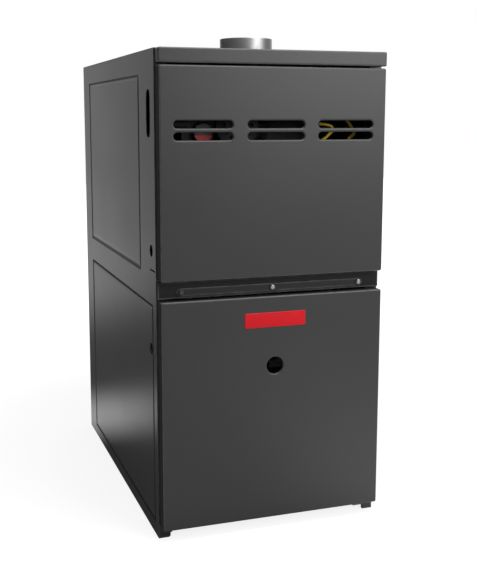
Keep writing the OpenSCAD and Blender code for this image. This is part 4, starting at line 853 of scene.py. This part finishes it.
board_x0, board_z0 = 0.013, 0.279
board_front = -0.25345
post_y = -0.2518
place = begin("board_laminate")
x, y, z = axes(place)
post = y.above(post_y, 0.00002)
area = axes(Signal(place.tree, "ShaderNodeTexVoronoi", {"Vector": place, "Scale": 55.0}, "Color",
                   distance="CHEBYCHEV"))[0]
across, upwards = x.wave(0.0026).step(0.55, 0.70), z.wave(0.0026).step(0.55, 0.70)
tracks = across * area.step(0.52, 0.50) + upwards * area.step(0.50, 0.52)
joints = Signal(place.tree, "ShaderNodeTexVoronoi",
                {"Vector": place, "Scale": 230.0, "Randomness": 0.35}).step(0.26, 0.20)
weave = clouds(place, 900.0, 2.0)
laminate = (tracks * 0.8).tint((0.012, 0.075, 0.028), (0.030, 0.150, 0.058))
soldered = (joints * 0.9).tint(laminate, (0.45, 0.45, 0.46))
board_finish = complete(place, post.tint(soldered, (0.60, 0.60, 0.57)), weave * 0.10 + 0.32,
                        joints * (1 - post) * 0.9, tracks * 0.5 + joints * 0.5 + weave * 0.1, 0.00012)
dress(board_finish, "control_board")


def rounded_blocks(name, blocks, radius):
    """Blocks with rounded edges, each from its lowest to its highest corner."""
    shell = bmesh.new()
    for low, high in blocks:
        for vert in bmesh.ops.create_cube(shell, size=1.0)["verts"]:
            vert.co = Vector([a + (place + 0.5) * (b - a) for a, b, place in zip(low, high, vert.co)])
    bmesh.ops.bevel(shell, geom=list(shell.edges), offset=radius, segments=3, profile=0.5, affect="EDGES")
    holder = bpy.data.objects.new(name, smooth_mesh(name, shell, 40.0))
    bpy.context.scene.collection.objects.link(holder)
    holder.modifiers.new("even_normals", "WEIGHTED_NORMAL").keep_sharp = True
    return settled(holder)


def on_board(x0, z0, x1, z1, depth):
    """The corners of a block that stands on the board, from places on it in millimetres."""
    return ((board_x0 + x0 / 1000, board_front - depth / 1000, board_z0 + z0 / 1000),
            (board_x0 + x1 / 1000, board_front, board_z0 + z1 / 1000))


relay_pitch, terminal_pitch = 30, 10.8
relays = [on_board(20 + relay_pitch * i, 70, 42 + relay_pitch * i, 98, 16) for i in range(4)]
small_relay = on_board(140, 104, 158, 120, 13)
plug = [on_board(14, 12, 84, 26, 9), on_board(13, 11, 85, 27, 3)]
terminals = [on_board(96 + terminal_pitch * i, 8, 106.2 + terminal_pitch * i, 18, 8) for i in range(5)]
relay_finish = moulded("relay_plastic", (0.014, 0.014, 0.015), (0.009, 0.009, 0.010), 0.38)
plug_finish = moulded("plug_nylon", (0.62, 0.61, 0.57), (0.52, 0.51, 0.47), 0.40)
terminal_finish = moulded("terminal_green", (0.02, 0.16, 0.07), (0.014, 0.12, 0.05), 0.40)
for name, blocks, radius, finish, slot_name in (
        ("board_relays", relays + [small_relay], 0.0008, relay_finish, "black_plastic"),
        ("board_plug", plug, 0.0005, plug_finish, "white_plastic"),
        ("board_terminals", terminals, 0.0005, terminal_finish, "board_green")):
    add_piece(rounded_blocks(name, blocks, radius), name, finish, slot_name, "cabinet", "board_components")

can_pitch = 0.020
can_profile = [(0.0070, 0.0), (0.0070, -0.0150), (0.0066, -0.0156), (0.0070, -0.0162), (0.0070, -0.0174),
               (0.0062, -0.0180), (0.0052, -0.0180), (0.0050, -0.0177), (0.0012, -0.0177)]
place = begin("capacitor_sleeve")
top = axes(place)[1].below(board_front - 0.0172, 0.0002)
fine = clouds(place, 400.0)
sleeve_blue = fine.tint((0.012, 0.014, 0.03), (0.02, 0.022, 0.045))
sleeve_finish = complete(place, top.tint(sleeve_blue, (0.60, 0.61, 0.62)), fine * 0.1 + 0.3, top,
                         fine, 0.00003)
for i in range(3):
    name = "board_capacitor_%d" % (i + 1)
    foot = (board_x0 + 0.102 + can_pitch * i, board_front, board_z0 + 0.040)
    add_piece(turned(name, can_profile, foot, "y", 40), name, sleeve_finish, "black_plastic", "cabinet",
              "board_components")


def pin_tree():
    """A flat pin with a chamfered end, which stands towards -Y on each point."""
    tree, given = tree_of("flat_pins", ("Width", "Float"), ("Thickness", "Float"), ("Length", "Float"),
                          ("Material", "Material"))
    length = given.part("Length")
    blocks = []
    for share, part_l, lift in ((1.0, 0.8, 0.4), (0.7, 0.2, 0.9)):
        size = Signal(tree, "ShaderNodeCombineXYZ", {"X": given.part("Width") * share, "Z": length * part_l,
                                                     "Y": given.part("Thickness") * share})
        blocks.append(moved(tree, Signal(tree, "GeometryNodeMeshCube", {"Size": size}), length * lift))
    return close_tree(tree, given, joined(tree, *blocks), (math.pi / 2, 0.0, 0.0))


flat_pins = pin_tree()
tinned = metal("tinned_brass", (0.62, 0.61, 0.58), (0.44, 0.43, 0.40), 0.26)
relay_tops = [((low[0] + high[0]) / 2 + side * 0.005, low[1], low[2] + 0.020)
              for low, high in relays for side in (-1, 1)]
plug_pitch = 0.0079
plug_tops = [(board_x0 + 0.0175 + plug_pitch * i, board_front - 0.009, board_z0 + 0.019) for i in range(9)]
for name, places, width, thickness, length in (("relay_tags", relay_tops, 0.0048, 0.0008, 0.0075),
                                               ("plug_pins", plug_tops, 0.0034, 0.0010, 0.0028)):
    pins = grown(name, places, flat_pins, {"Width": width, "Thickness": thickness, "Length": length,
                                           "Material": tinned})
    add_piece(pins, name, None, "zinc_screw", "cabinet")
add_screws("terminal_screws", [((low[0] + high[0]) / 2, low[1], low[2] + 0.005) for low, high in terminals],
           zinc, "zinc_screw", "cabinet", hex_r=0.0024, washer_r=0.0030, head_h=0.0018)


def resistor_tree():
    """A small body with a lead at each end, lying along X a little in front of each point."""
    tree, given = tree_of("resistors", ("Radius", "Float"), ("Length", "Float"), ("Material", "Material"))
    radius, length = given.part("Radius"), given.part("Length")
    body, caps, wire = [
        Signal(tree, "GeometryNodeMeshCylinder", {"Vertices": sides, "Radius": r, "Depth": depth})
        for sides, r, depth in ((16, radius * 0.85, length), (16, radius, length * 0.25),
                                (8, radius * 0.25, length * 1.7))]
    shape = joined(tree, body, wire, moved(tree, caps, length * 0.38), moved(tree, caps, length * -0.38))
    return close_tree(tree, given, shape, (0.0, math.pi / 2, 0.0))


resistor_r = 0.0013
column_pitch, row_pitch = 0.013, 0.009
resistor_places = [(board_x0 + 0.018 + column_pitch * (i % 6), board_front - resistor_r,
                    board_z0 + 0.036 + row_pitch * (i // 6)) for i in range(18) if i % 5 != 3]
lacquer = moulded("resistor_lacquer", (0.50, 0.36, 0.20), (0.40, 0.28, 0.15), 0.35)
resistors = grown("board_resistors", resistor_places, resistor_tree(),
                  {"Radius": resistor_r, "Length": 0.0062, "Material": lacquer})
add_piece(resistors, "board_resistors", None, "white_plastic", "cabinet")

core_x0, core_x1 = -0.130, -0.064
core_y0, core_y1 = -0.28585, -0.25185
coil_x0, coil_x1, coil_z0, coil_z1 = -0.1142, -0.0778, 0.2728, 0.3092
place = begin("transformer_finish")
x, y, z = axes(place)
core = x.between(core_x0, core_x1) * y.between(core_y0, core_y1)
coil = x.between(coil_x0, coil_x1) * z.between(coil_z0, coil_z1) * y.below(core_y0).larger(y.above(core_y1))
sheets = y.wave(0.0010)
grit = clouds(place, 420.0, 3.0)
wraps = z.wave(0.0080).step(0.88, 0.98)
iron = (sheets * 0.5 + grit * 0.5).tint((0.020, 0.020, 0.022), (0.055, 0.055, 0.058))
tape = (wraps * 0.5 + grit * 0.4).tint((0.55, 0.38, 0.09), (0.36, 0.24, 0.05))
tone = coil.tint(core.tint((0.40, 0.40, 0.42), iron), tape)
bare = (1 - core.larger(coil)) * 0.9 + core * (1 - coil) * 0.5
core_finish = complete(place, tone, grit * 0.14 + 0.38, bare,
                       sheets * core + wraps * coil * 0.6 + grit * 0.2, 0.00015)
dress(core_finish, "transformer")


# ---- Door switch, junction box and harness ------------------------------------------------------
# The lower door's tab presses the white plunger of a black switch. Mains wires go from a galvanised
# box on the left side to the board, and others from the board to the gas valve, in dark ribbed sleeves.
# A rubber ring lines their hole in the shelf, and two plugs close the right side's wire holes.
switch_x = 0.120
place = begin("switch_case")
halves = axes(place)[0].between(switch_x - 0.0003, switch_x + 0.0003, 0.00005)
fine = clouds(place, 480.0, 3.0)
switch_finish = complete(place, fine.tint((0.012, 0.012, 0.013), (0.020, 0.020, 0.021)),
                         fine * 0.12 + 0.38, 0.0, fine * 0.2 - halves, 0.0002)
dress(switch_finish, "interlock_switch")
dress(bracket_finish, "junction_box", "junction_box_cover")
dress(moulded("plunger_nylon", (0.66, 0.65, 0.62), (0.58, 0.57, 0.54), 0.36), "interlock_plunger")
dress(moulded("grommet_rubber", (0.012, 0.012, 0.012), (0.007, 0.007, 0.007), 0.6), "deck_grommet")
dress(moulded("plug_plastic", (0.020, 0.020, 0.021), (0.014, 0.014, 0.015), 0.42), "hole_plugs")

harness_r = 0.004
burner_route = [(162, 75, -89.7), (163, 76, -68), (166, 86, -52), (168, 100, -45), (171, 140, -44),
                (172, 168, -36), (172, 175, -20), (172, 175, 4), (172, 173, 24), (160, 170, 38),
                (110, 164, 36), (20, 140, 34), (-50, 98, 34), (-92, 56, 46), (-100, 49, 86), (-105, 50, 130),
                (-111, 57, 180), (-112, 60, 212.6)]
mains_route = [(-172, 60, -128), (-150, 60, -128), (-110, 62, -134), (-60, 70, -152), (-18, 75, -182),
               (26.2, 76, -191)]
place = begin("corrugated_sleeve")
x, y, z = axes(place)
ribs = (x * 0.9 + y * 0.7 + z * 1.1).wave(0.0032)
fine = clouds(place, 500.0, 2.0)
ribbed_sleeve = complete(place, (ribs * 0.6 + fine * 0.4).tint((0.006, 0.006, 0.006), (0.022, 0.022, 0.023)),
                         fine * 0.12 + 0.42, 0.0, ribs, 0.0004)
add_cord("burner_harness", burner_route, harness_r, ribbed_sleeve, "dark_sleeve", "wire_harness")
add_cord("mains_harness", mains_route, harness_r, ribbed_sleeve, "dark_sleeve", "wire_harness")


# ---- Rail, strip and screws ---------------------------------------------------------------------
# The rail between the doors and the strip screwed to it are painted darker, as painted shade between
# the doors. The strip's ends are round.
# Three washer head screws hold it. The left one is painted over, and the others' hex heads are bare.
# Painted shade: near black paint on the rail and strip, which sit in the shadow of the upper door.
dress(powder_coat("rail_paint", "mullion", (0.005, 0.005, 0.005), (0.008, 0.008, 0.0078), 0.50, 0.2),
      "mullion")
dress(powder_coat("strip_paint", "door_retainer_strip", (0.008, 0.008, 0.008), (0.012, 0.012, 0.0118),
                  0.40, 0.3), "door_retainer_strip")
strip_low, strip_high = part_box("door_retainer_strip")
strip_face = strip_low.y
screw_z = (strip_low.z + strip_high.z) / 2
screw_pitch = 0.1775
place = begin("bare_head")
bare = axes(place)[1].below(strip_face - 0.0014, 0.0002)
fine = clouds(place, 300.0, 3.0)
bare_head = complete(place, bare.tint(charcoal, fine.tint((0.44, 0.44, 0.45), (0.30, 0.30, 0.31))),
                     fine * 0.12 + 0.26, bare, fine, 0.00003)
painted_head = powder_coat("painted_screw", "door_retainer_strip", (0.030, 0.030, 0.030),
                           (0.040, 0.040, 0.040))
for name, screw_xs, finish in (("strip_screws", (0.0, screw_pitch), bare_head),
                               ("painted_strip_screw", (-screw_pitch,), painted_head)):
    add_screws(name, [(x, strip_face, screw_z) for x in screw_xs], finish, "zinc_screw", "cabinet",
               "retainer_screws")


# ---- Doors --------------------------------------------------------------------------------------
# Each door is one pressed pan of the same sheet. Its edges are bent back, and the metal round each
# air slot and round the sight hole is drawn inwards, which leaves a soft bright rim.
door_sheet = 0.0012
bend_r = 0.003
corner_r = 0.004
drawn_r = 0.0030
drawn_depth = 0.0036
bend_steps = 6
slot_half_l = 0.1095 / 2
slot_half_h = 0.0136 / 2
slot_xs = (-0.1385, 0.0, 0.1385)
slot_zs = (0.772, 0.751)
sight_r = 0.016
sight_z = 0.323


def rounded_outline(half_w, half_h, radius, steps=6):
    """Points round a rectangle with round corners, in X and Z, from the right end anticlockwise."""
    points = []
    for turn, (sx, sz) in enumerate(((1, 1), (-1, 1), (-1, -1), (1, -1))):
        for k in range(steps + 1):
            a = math.radians(90 * turn + 90 * k / steps)
            points.append((sx * (half_w - radius) + radius * math.cos(a),
                           sz * (half_h - radius) + radius * math.sin(a)))
    return [point for i, point in enumerate(points) if math.dist(point, points[i - 1]) > 1e-7]


def add_loop(shell, points, middle, y):
    return [shell.verts.new((middle[0] + x, y, middle[1] + z)) for x, z in points]


def bend_loops(shell, outline, middle, y0, radius):
    """Loops from the edge of a panel's flat round a bend to its wall. A hole's radius is less than 0."""
    return [add_loop(shell, outline(radius * (1 - math.sin(a))), middle, y0 + abs(radius) * (1 - math.cos(a)))
            for a in (math.pi / 2 * k / bend_steps for k in range(bend_steps + 1))]


def bent_edge(shell, outline, middle, y0, radius, depth):
    """A panel's edge, from a little inside the bend to the end of its wall. Returns the flat's loop."""
    margin = math.copysign(0.0006, radius)
    loops = [add_loop(shell, outline(radius + margin), middle, y0)]
    loops += bend_loops(shell, outline, middle, y0, radius)
    loops.append(add_loop(shell, outline(0.0), middle, y0 + depth))
    skin(shell, loops)
    return loops[0]


def front_of(node):
    """Half the width and height of a node, its middle in X and Z, and its front and back in Y."""
    low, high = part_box(node)
    middle = ((high.x + low.x) / 2, (high.z + low.z) / 2)
    return (high.x - low.x) / 2, (high.z - low.z) / 2, middle, low.y, high.y


def pressed_door(name, node, openings):
    """A pan in the place of a node. openings are (half length, half height, x, z) of round-ended holes."""
    half_w, half_h, middle, front_y, back_y = front_of(node)
    shell = bmesh.new()

    def edge(inset):
        return rounded_outline(half_w - inset, half_h - inset, max(corner_r - inset, 0.0006))

    loops = [bent_edge(shell, edge, middle, front_y, bend_r, back_y - front_y)]
    for half_l, half_t, x, z in openings:
        def rim(inset, half_l=half_l, half_t=half_t):
            return rounded_outline(half_l - inset, half_t - inset, half_t - inset, 12)
        loops.append(bent_edge(shell, rim, (x, z), front_y, -drawn_r, drawn_depth))
    edges = [shell.edges.get((loop[k - 1], loop[k])) for loop in loops for k in range(len(loop))]
    bmesh.ops.triangle_fill(shell, use_beauty=True, use_dissolve=False, edges=edges)
    bmesh.ops.recalc_face_normals(shell, faces=shell.faces)
    mesh = smooth_mesh(name, shell)
    front = max(mesh.polygons, key=lambda face: face.area)
    if front.normal.y > 0:
        mesh.flip_normals()
    return mesh


dress(sheet_finish, "door_switch_tab")
slots = [(slot_half_l, slot_half_h, x, z) for x in slot_xs for z in slot_zs]
sight_hole = (sight_r, sight_r, 0.0, sight_z)
for node, openings in (("upper_door", slots), ("lower_door", [sight_hole])):
    paint = powder_coat(node + "_paint", node, painted_shade_ends=True)
    door = add_piece(pressed_door(node + "_pan", node, openings), node + "_pan", paint, "charcoal_paint",
                     node, node)
    solidify = door.modifiers.new("sheet", "SOLIDIFY")
    solidify.thickness = door_sheet
    solidify.offset = -1.0
    solidify.use_even_offset = True


# ---- Badge plate --------------------------------------------------------------------------------
# A thin pressed plate with round corners and a softly rounded rim, enamelled plain red. It is stuck
# on the lower door, above the sight hole.
badge_corner_r, badge_rim_r = 0.003, 0.0006
badge_red, badge_deep = (0.62, 0.006, 0.013), (0.52, 0.004, 0.010)
place = begin("badge_enamel")
haze = clouds(place, 24.0, 3.0)
badge_enamel = complete(place, haze.tint(badge_red, badge_deep), haze * 0.10 + 0.30, 0.0,
                        clouds(place, 260.0, 2.0), 0.00004, 0.25)


def rounded_plate(name, node, radius, rim):
    """A plate in the place of a node, with round corners and a rim rounded by that radius."""
    half_w, half_h, middle, front_y, back_y = front_of(node)
    shell = bmesh.new()

    def edge(inset):
        return rounded_outline(half_w - inset, half_h - inset, radius - inset)

    loops = bend_loops(shell, edge, middle, front_y, rim) + [add_loop(shell, edge(0.0), middle, back_y)]
    shell.faces.new(loops[0])
    skin(shell, loops)
    shell.faces.new(loops[-1])
    bmesh.ops.recalc_face_normals(shell, faces=shell.faces)
    return smooth_mesh(name, shell, 40.0)


add_piece(rounded_plate("badge_face", "badge_plate", badge_corner_r, badge_rim_r), "badge_face", badge_enamel,
          "red_plate", "lower_door", "badge_plate")
